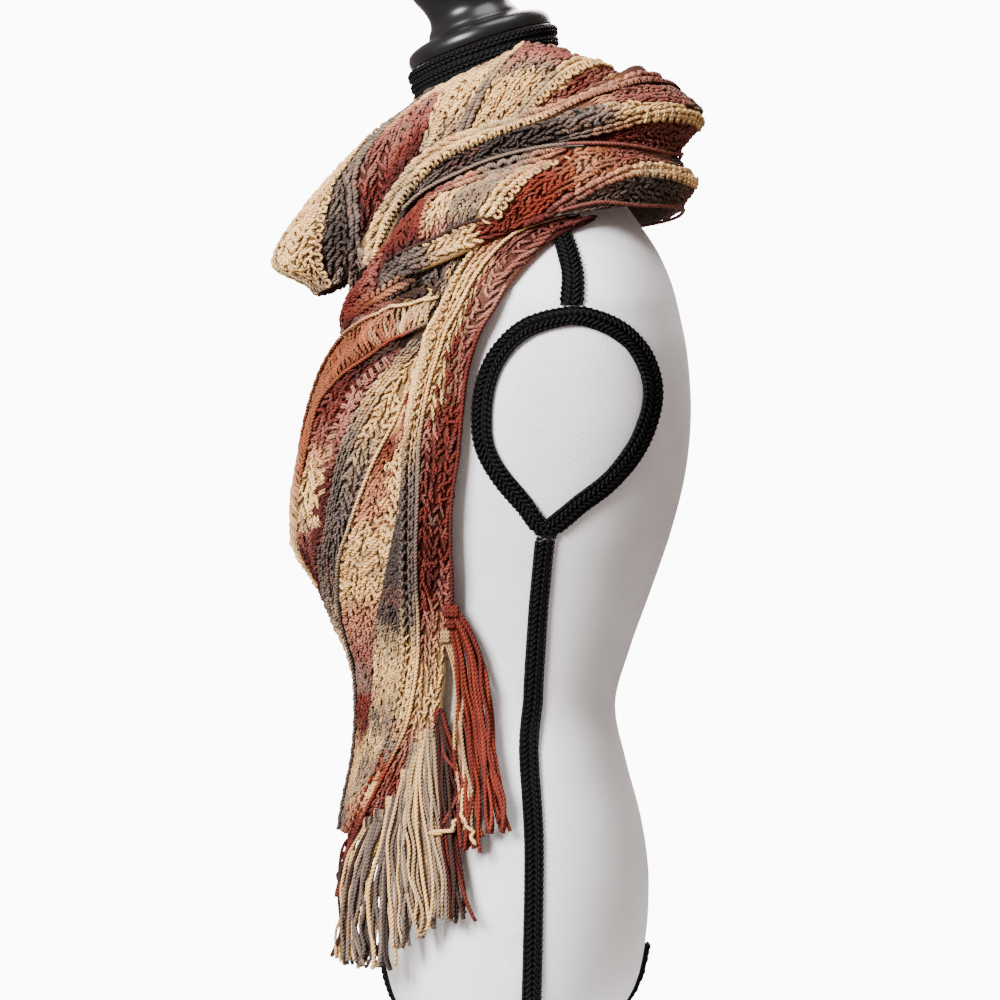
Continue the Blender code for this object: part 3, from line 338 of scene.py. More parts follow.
LEFT_WORK = """
lace T_BACK T_1 0: 193 maroon, 240 rose, 275 pink, 300 cream, 335 cream, 360 peach, 380 rose, 402 rose,
    420 brick, 480 brick, 545 brick, 565 rose, 600 rose, 630 pink, 672 rose, 690 maroon;
lace T_1 T_2 0: 193 maroon, 212 brick, 224 rose, 250 rust, 272 pink, 290 peach, 320 cream, 350 peach,
    370 pink, 385 brick, 480 brick, 512 rose, 530 pink, 545 cream, 655 cream, 670 rose, 690 maroon |
    -1 .75 3.1: 193 maroon, 240 brick, 270 pink, 300 cream, 360 peach, 400 maroon, 540 brick, 625 brick,
    650 rose, 700 rose;
cable T_2 T_3 0: 193 maroon, 212 brick, 222 peach, 234 cream, 252 rust, 272 taupe, 300 cream, 345 cream,
    365 taupe, 400 grey, 470 grey, 490 taupe, 505 ecru, 530 cream, 655 cream, 672 peach, 690 brick;
field T_3 T_4 0: 193 brick, 215 peach, 232 ecru, 250 grey, 268 cream, 290 grey, 330 cream, 355 ecru,
    374 dark, 440 dark, 500 grey, 545 cream, 640 cream;
field T_4 T_5 0: 193 taupe, 215 grey, 250 cream, 280 maroon, 305 brick, 322 taupe, 340 rose, 358 pink,
    380 peach, 395 cream, 445 cream, 462 peach, 478 peach, 500 orange, 522 brick, 540 cream, 596 cream,
    604 umber | -1 .6 2.2: 193 taupe, 215 grey, 250 cream, 280 maroon, 305 brick, 322 taupe, 340 rose,
    358 pink, 380 peach, 400 cream, 500 cream, 520 peach, 535 brick, 600 brick;
field T_5 T_6 0: 193 grey, 232 grey, 262 peach, 300 brick, 335 grey, 375 ecru, 392 taupe, 410 grey,
    462 grey, 490 taupe, 512 ecru, 535 cream, 582 cream, 596 taupe;
cable T_6 T_7 0: 193 cream, 240 peach, 285 taupe, 330 cream, 375 taupe, 410 grey, 445 grey, 490 grey,
    518 taupe, 545 ecru, 570 cream, 590 taupe;
field T_7 T_8 0: 193 peach, 232 grey, 268 cream, 310 dark, 340 cream, 370 taupe, 395 maroon, 425 maroon,
    446 rose, 460 cream, 488 cream, 506 peach, 524 rose, 545 brick, 575 maroon, 590 umber, 602 umber |
    -1 .55 2.7: 193 peach, 232 grey, 268 cream, 310 dark, 340 cream, 370 taupe, 395 maroon, 490 maroon,
    520 rose, 560 pink, 580 rose, 602 maroon;
roll T_ROLL_L T_ROLL_U 0: 193 grey, 260 taupe, 340 grey, 400 cream, 450 cream, 500 peach, 525 orange,
    604 orange, 611 peach, 617 ecru, 622 cream, 640 cream;
field T_ROLL_U T_FRONT 0: 193 taupe, 300 cream, 400 taupe, 500 cream, 606 ecru, 617 cream, 640 cream;
field T_SEAT_A T_SEAT_B 0: 600 grey, 630 umber, 640 taupe, 650 cream, 660 taupe, 670 grey, 690 dark;
field T_SEAT_B T_SEAT_C 0: 640 umber, 650 grey, 660 taupe, 672 dark, 690 dark;
loops T_3 0 1: 193 maroon, 250 rust, 272 taupe, 340 cream, 400 grey, 480 grey, 560 cream, 700 cream;
teeth T_TEETH_1 0 -1: 470 cream, 540 pink, 590 pink;
cord T_5_CORD 1.2: 400 grey, 440 ecru, 480 cream, 560 cream;
cord T_2 1: 193 maroon, 250 rust, 300 cream, 345 cream, 400 grey, 515 taupe, 560 cream;
cord T_ROLL_U_CORD 1.2: 430 orange, 600 orange, 618 peach, 624 cream;
cord T_ROLL_L_CORD 1: 490 orange, 560 orange, 600 rust, 612 taupe;
cord T_CORD_1 .5: 385 maroon, 600 brick, 640 pink;"""
# The hidden tail's colours, and the heights they are set at.
RIGHT_TONES = ("maroon", "rose", "cream", "taupe", "grey", "cream", "rust", "cream")
RIGHT_HEIGHTS = (325, 390, 450, 520, 600, 700)
# Stitches over the fold above the left tail: share down of both edges, colours, depth.
BRIDGE_ROWS = ((0.0, 0.34, ("maroon", "brick", "orange", "peach", "umber"), -2.5),
               (0.30, 0.68, ("grey", "brick", "rose", "umber", "umber"), -4.5),
               (0.62, 1.0, ("taupe", "grey", "dark", "umber", "dark"), -5.5))

# ---------------------------------------------------------------- fringe bunches
# On the left tail: half spread at the root and at the end, number of strands, how far
# their ends stagger and their colours, then (y, z) down the bunch's middle.
LEFT_BUNCHES = """
5 9 9 12 rust brick brick: -57 384, -45 367, -37 345, -31 305, -27 270, -22 240, -18 200;
3 7 7 12 rust brick: -57 375, -49 343, -42 279, -37 216, -38 186;
3 5 5 8 cream ecru: -61 363, -51 339, -47 311, -48 279, -43 232, -42 202;
3 4 4 20 maroon brick: -66 299, -55 271, -50 232, -52 190;
4 6 7 12 maroon brick umber: -66 297, -60 263, -57 208, -50 148, -46 132;
4 5 6 12 cream taupe ecru: -75 283, -72 239, -66 208, -62 150, -60 132;
4 5 5 14 cream taupe: -78 281, -80 245, -77 205, -72 160, -70 124;
4 7 8 12 cream ecru taupe: -83 272, -90 235, -90 205, -86 165, -80 116;
4 6 7 12 cream taupe grey cream: -91 250, -95 226, -99 190, -96 150, -94 104;
5 8 11 10 taupe grey dark cream: -102 228, -106 205, -111 165, -113 130, -112 90;
5 8 10 8 grey cream taupe dark: -113 217, -119 195, -127 160, -131 125, -130 88;
4 5 8 8 cream taupe umber cream: -122 210, -131 190, -140 150, -143 120, -142 86;
3 3 4 10 brick maroon: -131 202, -140 190, -145 160, -147 140;"""
STRAYS = """
cream: -47 216, -56 207, -66 204, -73 205;
cream: -47 225, -43 215, -38 206, -36 196;"""
RIGHT_BUNCHES = 9
FRINGE_RADIUS = 1.65

# ------------------------------------------------------------- light, floor, camera
BACK_LIGHT = 11.0
ROOM_LIGHT = (0.43, 0.35, 0.325)
KEY_LIGHT = 400
FILL_LIGHT = 90
TOP_LIGHT = 50
FLOOR_RADIUS = 0.33
FLOOR_SIDES = 48
# The camera looks level at the left side, in metres: how far it stands from the form's
# middle, the y and z it looks at, and the width of the view there. Its film is in mm.
CAMERA_DISTANCE = 3.0
CAMERA_AIM = (-0.0168, 0.470)
VIEW_WIDTH = 0.84
FILM_WIDTH = 36


# --------------------------------------------------------------- cloth surfaces
def unit(vectors):
    return vectors / (np.linalg.norm(vectors, axis=-1, keepdims=True) + 1e-9)


def run_of(points):
    """Distances walked along points."""
    return np.concatenate([[0], np.cumsum(np.linalg.norm(np.diff(points, axis=0), axis=1))])


def between(values, at):
    """Rows of each array at fractional places, and nothing past its end."""
    i = np.minimum(at.astype(int), len(values[0]) - 2)
    a = (at - i)[..., None]
    return [rows[i] * (1 - a) + rows[i + 1] * a for rows in values]


def spline(p0, p1, p2, p3, t):
    """A smooth curve from the second of four points to the third."""
    return 0.5 * (2 * p1 + (p2 - p0) * t + (2 * p0 - 5 * p1 + 4 * p2 - p3) * t * t
                  + (3 * p1 - p0 - 3 * p2 + p3) * t ** 3)


def smooth_table(rows):
    """Interpolate a table along its first column, without overshoot, for arrays."""
    data = np.array(sorted(rows), float)
    knots = data[:, 0]
    steps = np.diff(knots)
    rates = np.diff(data, axis=0) / steps[:, None]
    slopes = np.zeros_like(data)
    for i in range(1, len(knots) - 1):
        before, after = rates[i - 1], rates[i]
        mean = (before * steps[i] + after * steps[i - 1]) / (steps[i - 1] + steps[i])
        limit = 3 * np.minimum(abs(before), abs(after))
        slopes[i] = np.where(before * after > 0, np.sign(mean) * np.minimum(abs(mean), limit), 0)
    slopes[0], slopes[-1] = rates[0], rates[-1]

    def read(values):
        values = np.clip(np.asarray(values, float), knots[0], knots[-1])
        i = np.clip(np.searchsorted(knots, values, side="right") - 1, 0, len(knots) - 2)
        h = steps[i][:, None]
        t = (values - knots[i])[:, None] / h
        return ((1 + 2 * t) * (1 - t) ** 2 * data[i] + t * (1 - t) ** 2 * h * slopes[i]
                + t * t * (3 - 2 * t) * data[i + 1] + t * t * (t - 1) * h * slopes[i + 1])
    return read


def mirrored_rows(rows):
    """Left sections from front to back, then the right side's, turned over and dipped."""
    whole = list(rows)
    for row in reversed(rows[1:-1]):
        dip = RIGHT_DIP * math.cos(math.radians(row[0]))
        whole.append((180 - row[0],) + tuple(v + (dip if i % 2 else 0) for i, v in enumerate(row[1:])))
    return whole + [(270,) + rows[0][1:]]


def wound_cloth(rows):
    """The crest surface of a wound stretch, a section a degree round the neck."""
    azimuths, shares = np.linspace(-90, 270, 361), np.linspace(0, 1, 65)
    spots = smooth_table(mirrored_rows(rows))(azimuths)[:, 1:].reshape(len(azimuths), -1, 2)
    ends = [2 * a - b - 0.5 * (c - 2 * b + a) for a, b, c in
            (spots[:, :3].swapaxes(0, 1), spots[:, :-4:-1].swapaxes(0, 1))]
    padded = np.concatenate([ends[0][:, None], spots, ends[1][:, None]], axis=1)
    spans = spots.shape[1] - 1
    i = np.minimum((shares * spans).astype(int), spans - 1)
    flat = spline(*(padded[:, i + k] for k in range(4)), (shares * spans - i)[None, :, None])
    a = np.radians(azimuths)[:, None]
    r, z = flat[..., 0], flat[..., 1]
    points = np.stack([r * np.cos(a), NECK_AXIS_Y + r * np.sin(a), z], axis=-1)
    return Cloth(azimuths, shares, points, True)


def signed_power(value, power):
    return np.sign(value) * np.abs(value) ** power


def outline_angle(drape, y):
    """Angle at which the hanging outline has the given y on its near side."""
    half, front_y, wide_y, square = drape.T[1:]
    reach = np.where(y > wide_y, half * BACK_REACH, wide_y - front_y)
    return np.arcsin(np.clip(signed_power((wide_y - y) / reach, square / 2), -1, 1))


def outline_points(drape, angle, out):
    """Points on the hanging outline, moved outwards; one a row of the drape table."""
    half, front_y, wide_y, square = drape.T[1:]
    c, s = np.cos(angle), np.sin(angle)
    reach = np.where(s < 0, half * BACK_REACH, wide_y - front_y)
    nx, ny = c / half, -s / reach
    size = np.hypot(nx, ny)
    x = half * signed_power(c, 2 / square) + nx / size * out
    y = wide_y - reach * signed_power(s, 2 / square) + ny / size * out
    return np.stack([x, y, drape[:, 0]], axis=-1)


def tail_cloth(rows, ribs, folds, steps, side):
    """The crest surface of a hung tail, over heights and rib lines."""
    heights = np.arange(rows[-1][0], rows[0][0] + 1, TAIL_STEP)
    lines = np.linspace(0, sum(ribs), TAIL_COLUMNS * sum(ribs) + 1)
    drape = smooth_table(DRAPE)(heights)
    place = smooth_table(rows)(heights)
    stops = np.stack([outline_angle(drape, place[:, 1]), outline_angle(drape, place[:, 2]),
                      np.radians(place[:, 3]), np.radians(place[:, 4])])
    knots = np.concatenate([[0], np.cumsum(ribs)])
    top, foot = rows[0][0], rows[-1][0]
    fade = np.minimum(1, 0.25 + (top - heights) / (top - foot) * steps / 6)
    columns = []
    for k in lines:
        angle = np.array([np.interp(k, knots, stops[:, i]) for i in range(len(heights))])
        columns.append(outline_points(drape, angle, np.interp(k, np.arange(len(folds)), folds) * fade))
    return Cloth(heights, lines, np.stack(columns, axis=1) * np.array([side, 1, 1]), False)


class Cloth:
    """A cloth surface held as a fine grid of crest points over two ways."""

    def __init__(self, s_values, t_values, points, is_loop):
        self.s, self.t, self.points, self.is_loop = s_values, t_values, points, is_loop
        wide = np.concatenate([points[-2:-1], points, points[1:2]]) if is_loop else points
        along = np.gradient(wide, axis=0)
        along = along[1:-1] if is_loop else along
        normal = unit(np.cross(along, np.gradient(points, axis=1)))
        outward = points - np.array([0, NECK_AXIS_Y, 0])
        outward[..., 2] = 0
        self.normals = normal * (1 if (normal * outward).sum() > 0 else -1)
        self.tint = np.zeros(points.shape)
        self.seen = np.zeros(points.shape[:2], bool)

    def spots(self, s, t):
        """Whole and fractional grid places."""
        if self.is_loop:
            s = (np.asarray(s) + 90) % 360 - 90
        i = (s - self.s[0]) / (self.s[1] - self.s[0])
        j = (t - self.t[0]) / (self.t[1] - self.t[0])
        return np.clip(i, 0, len(self.s) - 1.001), np.clip(j, 0, len(self.t) - 1.001)

    def at(self, s, t):
        """Point and outward normal at each (s, t)."""
        i, j = self.spots(s, t)
        i0, j0 = i.astype(int), j.astype(int)
        a, b = (i - i0)[..., None], (j - j0)[..., None]
        point, normal = ((grid[i0, j0] * (1 - a) + grid[i0 + 1, j0] * a) * (1 - b)
                         + (grid[i0, j0 + 1] * (1 - a) + grid[i0 + 1, j0 + 1] * a) * b
                         for grid in (self.points, self.normals))
        return point, unit(normal)

    def paint(self, s, t, tint):
        """Note a colour on the grid for the ground cloth under the stitches: the yarn's colour, or a painted
        shadow.
        """
        i, j = (np.rint(k).astype(int) for k in self.spots(s, t))
        self.tint[i, j] = tint
        self.seen[i, j] = True

    def fill_tint(self):
        """Spread the noted colours over the grid places that no row reached."""
        for _ in range(60):
            if self.seen.all():
                break
            for shift, axis in ((1, 0), (-1, 0), (1, 1), (-1, 1)):
                take = np.roll(self.seen, shift, axis) & ~self.seen
                self.tint[take] = np.roll(self.tint, shift, axis)[take]
                self.seen |= take


def even_line(cloth, line, count=161):
    """Places evenly spaced along a line over the cloth, its corners rounded."""
    line = np.array(line, float)
    share = np.linspace(0, len(line) - 1, 24 * (len(line) - 1) + 1)
    dense = np.stack([np.interp(share, np.arange(len(line)), line[:, k]) for k in (0, 1)], axis=1)
    run = run_of(cloth.at(dense[:, 0], dense[:, 1])[0])
    even = np.linspace(0, run[-1], count)
    found = np.stack([np.interp(even, run, dense[:, k]) for k in (0, 1)], axis=1)
    span = 5
    before, after = 2 * found[:1] - found[span:0:-1], 2 * found[-1:] - found[-2:-2 - span:-1]
    padded = np.concatenate([before, found, after])
    kernel = np.ones(2 * span + 1) / (2 * span + 1)
    return np.stack([np.convolve(padded[:, k], kernel, "valid") for k in (0, 1)], axis=1)


def tones(stops, values):
    """Colours at values along a row's colour stops."""
    hues = np.array([HUES[name] for _, name in stops])
    return np.stack([np.interp(values, [at for at, _ in stops], hues[:, k]) for k in range(3)], axis=-1)


class Ribbon:
    """A band in space between two edges, with cells of one stitch's length."""

    def __init__(self, first, second, normals, pitch):
        self.lines = (first, second, normals)
        self.measure((first + second) / 2, pitch)

    def measure(self, middle, pitch):
        self.run = run_of(middle)
        self.cells = max(1, round(self.run[-1] / pitch))
        self.pitch = self.run[-1] / self.cells

    def edges(self, x):
        """What the band's lines hold, x cells along."""
        return between(self.lines, np.interp(x * self.pitch, self.run, np.arange(len(self.run))))

    def place(self, x, y, h):
        """Points x cells along, share y across and h above the band, with its normals there."""
        first, second, normal = self.edges(x)
        return first * (1 - y[..., None]) + second * y[..., None] + normal * h[..., None], normal


class Strip(Ribbon):
    """The band of a cloth between two lines, with its colours and the sizes of its stitches."""

    def __init__(self, cloth, lines, pitch, way=0, stops=(), notch=None, size=None):
        self.cloth, self.way, self.stops, self.notch, self.size = cloth, way, stops, notch, size
        self.lines = [even_line(cloth, line) for line in lines]
        middle = (self.lines[0] + self.lines[1]) / 2
        self.measure(cloth.at(middle[:, 0], middle[:, 1])[0], pitch)
        ends = [cloth.at(line[:, 0], line[:, 1])[0] for line in self.lines]
        self.width = np.linalg.norm(ends[0] - ends[1], axis=1)
        self.phase = RNG.uniform(0, math.tau, 3)

    def params(self, x, y):
        """The (s, t) of x cells along and share y across."""
        first, second = self.edges(x)
        spot = first * (1 - y[..., None]) + second * y[..., None]
        return spot[..., 0], spot[..., 1]

    def place(self, x, y, h):
        point, normal = self.cloth.at(*self.params(x, y))
        return point + normal * h[..., None], normal

    def columns(self, columns, least):
        """Cells of a column wide enough to be worked, with the column's width there."""
        cells = np.arange(self.cells) + 0.5
        wide = np.interp(cells * self.pitch, self.run, self.width) / columns
        return cells[wide > least], wide[wide > least]

    def sideways(self, x, normals):
        """Directions over the cloth, across the strip's first line."""
        zero = np.zeros_like(x)
        ahead = self.place(x + 0.15, zero, zero)[0] - self.place(x - 0.15, zero, zero)[0]
        return unit(np.cross(normals, ahead))

    def shades(self, x, y, tone=1.0):
        """A colour for every unit: from the row's stops, a little uneven, with odd flecks."""
        value = self.params(x, y)[self.way]
        drift = jitter(value.shape, DRIFT_SHARE if self.way else
                       DRIFT_AZIMUTH if self.cloth.is_loop else DRIFT_HEIGHT)
        drift = np.where(RNG.random(value.shape) < 0.16, drift * 2.6, drift)
        colour = tones(self.stops, value + drift)
        if self.notch:
            side, reach, period, other = self.notch
            depth = y if side < 0 else 1 - y
            bitten = depth < reach * (0.25 + 0.75 * ((x / period) % 1.0))
            colour = np.where(bitten[:, None], tones(other, value), colour)
        colour = self.mottle(colour, x, y)
        level = jitter(value.shape, 0.12, 1)[..., None]
        warm = 1 + jitter(value.shape, 0.03)[..., None] * np.array([1, 0, -1.0])
        return np.clip(colour * level * warm * tone, 0, 1)

    def mottle(self, colour, x, y):
        """Short runs of stitches dyed toward another of the yarn's colours."""
        a, b, c = self.phase
        wave = (np.sin(0.93 * x + a + 5 * y) + np.sin(1.71 * x + b - 7 * y)
                + np.sin(0.41 * x + c + 3 * y)) / 3
        pale = (colour.mean(axis=-1) > 0.25)[:, None]
        pick = (np.sin(0.57 * x + 3 * a + 4 * y) > 0)[:, None]
        other = np.where(pale, np.where(pick, HUES["peach"], HUES["taupe"]),
                         np.where(pick, HUES["taupe"], HUES["rose"]))
        amount = np.where(pale, 0.55, 0.38) * np.clip((wave - 0.28) / 0.35, 0, 1)[:, None]
        return colour * (1 - amount) + other * amount


class Yarn:
    """Tubes of yarn gathered for one mesh."""

    def __init__(self):
        self.bundles = []

    def add(self, points, normals, radii, colours, sides=5):
        self.bundles.append((points, normals, np.broadcast_to(radii, points.shape[:2]), colours, sides))

    def add_units(self, strip, cells, x, y, h, r, base, sides=None, tone=1.0):
        """One tube a cell, with painted shade where it dips into the cloth."""
        points, normals = strip.place(x, y, h)
        colour = strip.shades(cells, y.mean(axis=1), tone)
        # Painted shade: the tube's colour darkened where it lies deep in the cloth.
        shade = (0.42 + 0.58 * np.clip((h - (base - 2.2)) / 2.2, 0, 1))[..., None]
        self.add(points, normals, r, colour[:, None, :] * shade, sides or strip.size["sides"])


# -------------------------------------------------------------- stitch patterns
# How far a stitch's colour drifts along its row: degrees, share down, millimetres.
DRIFT_AZIMUTH, DRIFT_SHARE, DRIFT_HEIGHT = 1.3, 0.014, 4.0


def jitter(count, spread, middle=0):
    """Uneven values: one a unit, as a column."""
    return RNG.normal(middle, spread, count if isinstance(count, tuple) else (count, 1))


def hump(share):
    return np.sin(np.pi * share)


def lay_chain(yarn, strip, columns, column):
    """A column of chain stitches: two plump legs a cell that meet like a V."""
    cells, wide = strip.columns(columns, 3.4)
    size, n = strip.size, len(cells)
    if not n:
        return
    t = np.linspace(0, 1, size["rings"])[None, :]
    for leg in (-1, 1):
        swell = 1 + jitter(n, 0.11)
        x = cells[:, None] + jitter(n, 0.08) + (1.34 * t - 0.67) * swell
        bow = 0.05 + size["bow"] * hump(t) ** 0.8
        y = (column + 0.5 + leg * bow + jitter(n, 0.03)) / columns
        base = size["height"] + jitter(n, 0.28)
        h = base - 1.9 + 2.0 * hump(0.14 + 0.78 * t)
        fat = np.clip(0.2 * wide, 1.1, size["fat"])[:, None]
        r = fat * (0.66 + 0.34 * hump(t)) * (1 + jitter(n, 0.06))
        yarn.add_units(strip, cells, x, y, h, r, base)


def lay_vees(yarn, strip, columns, column):
    """A column of worked stitches: two slanted legs a cell spreading from its middle."""
    cells, wide = strip.columns(columns, 3.2)
    size, n = strip.size, len(cells)
    if not n:
        return
    turn = 1 if column % 2 else -1
    t = np.linspace(0, 1, size["rings"])[None, :]
    for leg in (-1, 1):
        middle = cells[:, None] + 0.5 * (column % 2) + jitter(n, 0.12)
        x = middle + turn * (1.25 * t - 0.66) * (1 + jitter(n, 0.13))
        wander = 0.09 * np.sin(x * 0.8 + column * 2.1 + leg) + jitter(n, 0.06)
        spread = 0.40 * (1 + jitter(n, 0.16))
        bend = 0.06 * np.sin(2 * np.pi * t + RNG.uniform(0, 6.3, (n, 1)))
        y = (column + 0.5 + leg * (0.03 + spread * t ** 0.85) + wander + bend) / columns
        base = size["height"] + jitter(n, 0.4)
        h = base - 1.8 + 2.1 * hump(0.17 + 0.68 * t)
        fat = np.clip(0.182 * wide, 1.05, size["fat"])[:, None]
        r = fat * (0.66 + 0.34 * hump(t ** 0.9)) * (1 + jitter(n, 0.08))
        yarn.add_units(strip, cells, x, y, h, r, base)


def lay_wraps(yarn, strip, columns, column):
    """Loose strands lying across the stitches of a column, each its own way."""
    cells, wide = strip.columns(columns, 4.5)
    keep = RNG.random(len(cells)) < 0.56
    cells, wide = cells[keep], wide[keep]
    n = len(cells)
    if not n:
        return
    t = np.linspace(0, 1, 4)[None, :]
    lean = jitter(n, 0.9)
    long = RNG.uniform(0.30, 0.46, (n, 1))
    curl = jitter(n, 0.16) * hump(t)
    x = cells[:, None] + RNG.uniform(-0.4, 0.4, (n, 1)) + long * np.sin(lean) * (2 * t - 1) + curl
    y = (column + 0.5 + jitter(n, 0.13) + long * np.cos(lean) * (2 * t - 1)) / columns
    base = strip.size["height"] + 0.75 + jitter(n, 0.25)
    h = base - 1.7 + 1.9 * hump(0.1 + 0.8 * t)
    r = np.clip(0.15 * wide, 1.0, 1.6)[:, None] * (0.7 + 0.3 * hump(t))
    yarn.add_units(strip, cells, x, np.clip(y + 0.3 * curl, 0.0, 1.0), h, r, base, 4, 1.06)


def lay_posts(yarn, strip):
    """Dense wavy strands across a rolled band, side by side."""
    per = 1.7
    cells = (np.arange(int(strip.cells * per)) + 0.5) / per
    cells = cells[np.interp(cells * strip.pitch, strip.run, strip.width) > 4]
    n = len(cells)
    t = np.linspace(0, 1, 2 * strip.size["rings"])[None, :]
    for layer in (0, 1):
        lean = 0.75 + jitter(n, 0.16) if layer else -0.3 + jitter(n, 0.14)
        bend = 0.13 * np.sin(2 * np.pi * (t * 1.2 + RNG.random((n, 1))))
        x = cells[:, None] + lean * (t - 0.5) + bend + layer * 0.5 / per
        y = 0.03 + 0.94 * t + jitter(n, 0.02)
        base = strip.size["height"] + 0.5 * layer + jitter(n, 0.3)
        h = base - 1.5 + 1.6 * hump(0.1 + 0.8 * t) + 0.5 * np.sin(11 * t + 7 * lean)
        yarn.add_units(strip, cells, x, y, h, 1.75 * (0.75 + 0.25 * hump(t)), base)


def lay_loops(yarn, strip, side):
    """Round loops standing along a line, like the beaded edge of a plait."""
    cells = np.arange(strip.cells) + 0.5
    n = len(cells)
    turn = np.pi * (-0.25 + 1.5 * np.linspace(0, 1, strip.size["rings"] + 1)[None, :])
    reach = 2.7 * (1 + jitter(n, 0.08))
    x = cells[:, None] + reach / strip.pitch * np.cos(turn)
    zero = np.zeros_like(x)
    points, normals = strip.place(x, zero, zero + 0.9 + 0.6 * np.sin(turn))
    points = points + strip.sideways(x, normals) * (side * (1.2 + reach * np.sin(turn)))[..., None]
    # Painted shade: each loop darker where it curls down to the cloth.
    shade = (0.72 + 0.28 * np.clip(np.sin(turn), 0, 1))[..., None]
    yarn.add(points, normals, 1.45, strip.shades(cells, np.zeros(n), 1.04)[:, None, :] * shade,
             strip.size["sides"])


def lay_teeth(yarn, strip, side):
    """Long double loops reaching from a line over the next dark row."""
    cells = np.arange(strip.cells) + 0.5
    n = len(cells)
    t = np.linspace(0, 1, strip.size["rings"])[None, :]
    for twin in (-0.13, 0.13):
        x = cells[:, None] + twin + 0.32 * t + jitter(n, 0.03)
        zero = np.zeros_like(x)
        points, normals = strip.place(x, zero, zero + 0.7 - 1.6 * t ** 2)
        reach = side * (9.0 * (1 + jitter(n, 0.1)) * t - 1)
        points = points + strip.sideways(x, normals) * reach[..., None]
        colour = strip.shades(cells, np.zeros(n))
        # Painted shade: each tooth darker toward its tip, where it dips over the next row.
        yarn.add(points, normals, 1.4 * (1 - 0.35 * t), colour[:, None, :] * (1 - 0.25 * t)[..., None],
                 strip.size["sides"])


def lay_cord(yarn, strip, lift):
    """A plied cord lying along a line."""
    x = np.linspace(0, strip.cells, strip.cells + 1)[None, :]
    zero = np.zeros_like(x)
    points, normals = strip.place(x, zero, zero + lift + 0.35 * np.sin(x * 1.7))
    colour = tones(strip.stops, strip.params(x, zero)[0]) * jitter(x.shape, 0.05, 1)[..., None]
    yarn.add(points, normals, 1.5, np.clip(colour, 0, 1), 6)


# Rings and sides of a stitch's tube, and whether loose strands cross the stitches.
# FINE and LIGHT serve the side in the photo, PLAIN the other.
FINE = {"rings": 6, "sides": 5, "loose": True}
LIGHT = {"rings": 5, "sides": 4, "loose": True}
PLAIN = {"rings": 5, "sides": 4, "loose": False}
# A kind of row: the width of a column, the length of a cell, how high its stitches lie,
# the most a strand's radius can be, and how far the legs of a chain bow out.
KINDS = {
    "field": {"column": 9.0, "pitch": 7.6, "height": -1.7, "fat": 2.1},
    "lace": {"column": 10.0, "pitch": 9.0, "height": -1.7, "fat": 1.9},
    "braid": {"column": 40.0, "pitch": 9.6, "height": -0.7, "fat": 2.7, "bow": 0.22},
    "cable": {"column": 11.0, "pitch": 9.0, "height": -0.9, "fat": 2.3, "bow": 0.25},
    "roll": {"column": 40.0, "pitch": 9.0, "height": -0.9, "fat": 1.6},
}
# An edging: what lays it, and the length of its cells.
EDGINGS = {"loops": (lay_loops, 8.2), "teeth": (lay_teeth, 9.6), "cord": (lay_cord, 3.2)}


def lay_row(yarn, cloth, kind, lines, way, stops, notch, detail):
    """One row of stitches of its kind, and its colour on the ground cloth."""
    style = KINDS[kind]
    strip = Strip(cloth, lines, style["pitch"], way, stops, notch, {**detail, **style})
    u, y = np.meshgrid(np.linspace(0, strip.cells, 400), np.linspace(0, 1, 40), indexing="ij")
    spots = strip.params(u, y)
    cloth.paint(*spots, tones(stops, spots[way]))
    if kind == "roll":
        lay_posts(yarn, strip)
        return
    columns = max(1, round(float(np.percentile(strip.width, 70)) / style["column"]))
    for column in range(columns):
        if kind in ("braid", "cable"):
            lay_chain(yarn, strip, columns, column)
            continue
        lay_vees(yarn, strip, columns, column)
        if detail["loose"]:
            lay_wraps(yarn, strip, columns, column)


def lay_entry(yarn, cloth, kind, lines, numbers, stops, notch, detail):
    """A row, or an edging along one line."""
    if kind in KINDS:
        lay_row(yarn, cloth, kind, lines, int(numbers[0]), stops, notch, detail)
        return
    lay, pitch = EDGINGS[kind]
    way = 0 if kind == "cord" else int(numbers[0])
    lay(yarn, Strip(cloth, lines * 2, pitch, way, stops, None, detail), numbers[-1])


def turned_over(line):
    """The same line on the right side of a wound stretch."""
    return tuple((180 - s, t) for s, t in line)


def lay_work(cloth, text, detail):
    """All of a stretch's yarn. On a wound one the right side is a plainer mirror."""
    yarn = Yarn()
    for (kind, *head), body in read_entries(text):
        own, _, notch = body.partition("|")
        lines = [LINES[word] for word in head if word in LINES]
        numbers = [float(word) for word in head if word not in LINES]
        stops = read_stops(own)
        lay_entry(yarn, cloth, kind, lines, numbers, stops, read_notch(notch), detail)
        if cloth.is_loop and kind != "teeth":
            if numbers[0] != 1:
                stops = [(180 - at, name) for at, name in reversed(stops)]
            numbers[1:] = [-number for number in numbers[1:]]
            lay_entry(yarn, cloth, kind, [turned_over(line) for line in lines], numbers, stops, None, PLAIN)
    return yarn


# ------------------------------------------------------------------------ meshes
def ring_quads(index, nxt):
    """Faces between each row of points and the next row."""
    return np.stack([index[:-1], nxt[:-1], nxt[1:], index[1:]], -1).reshape(-1, 4)


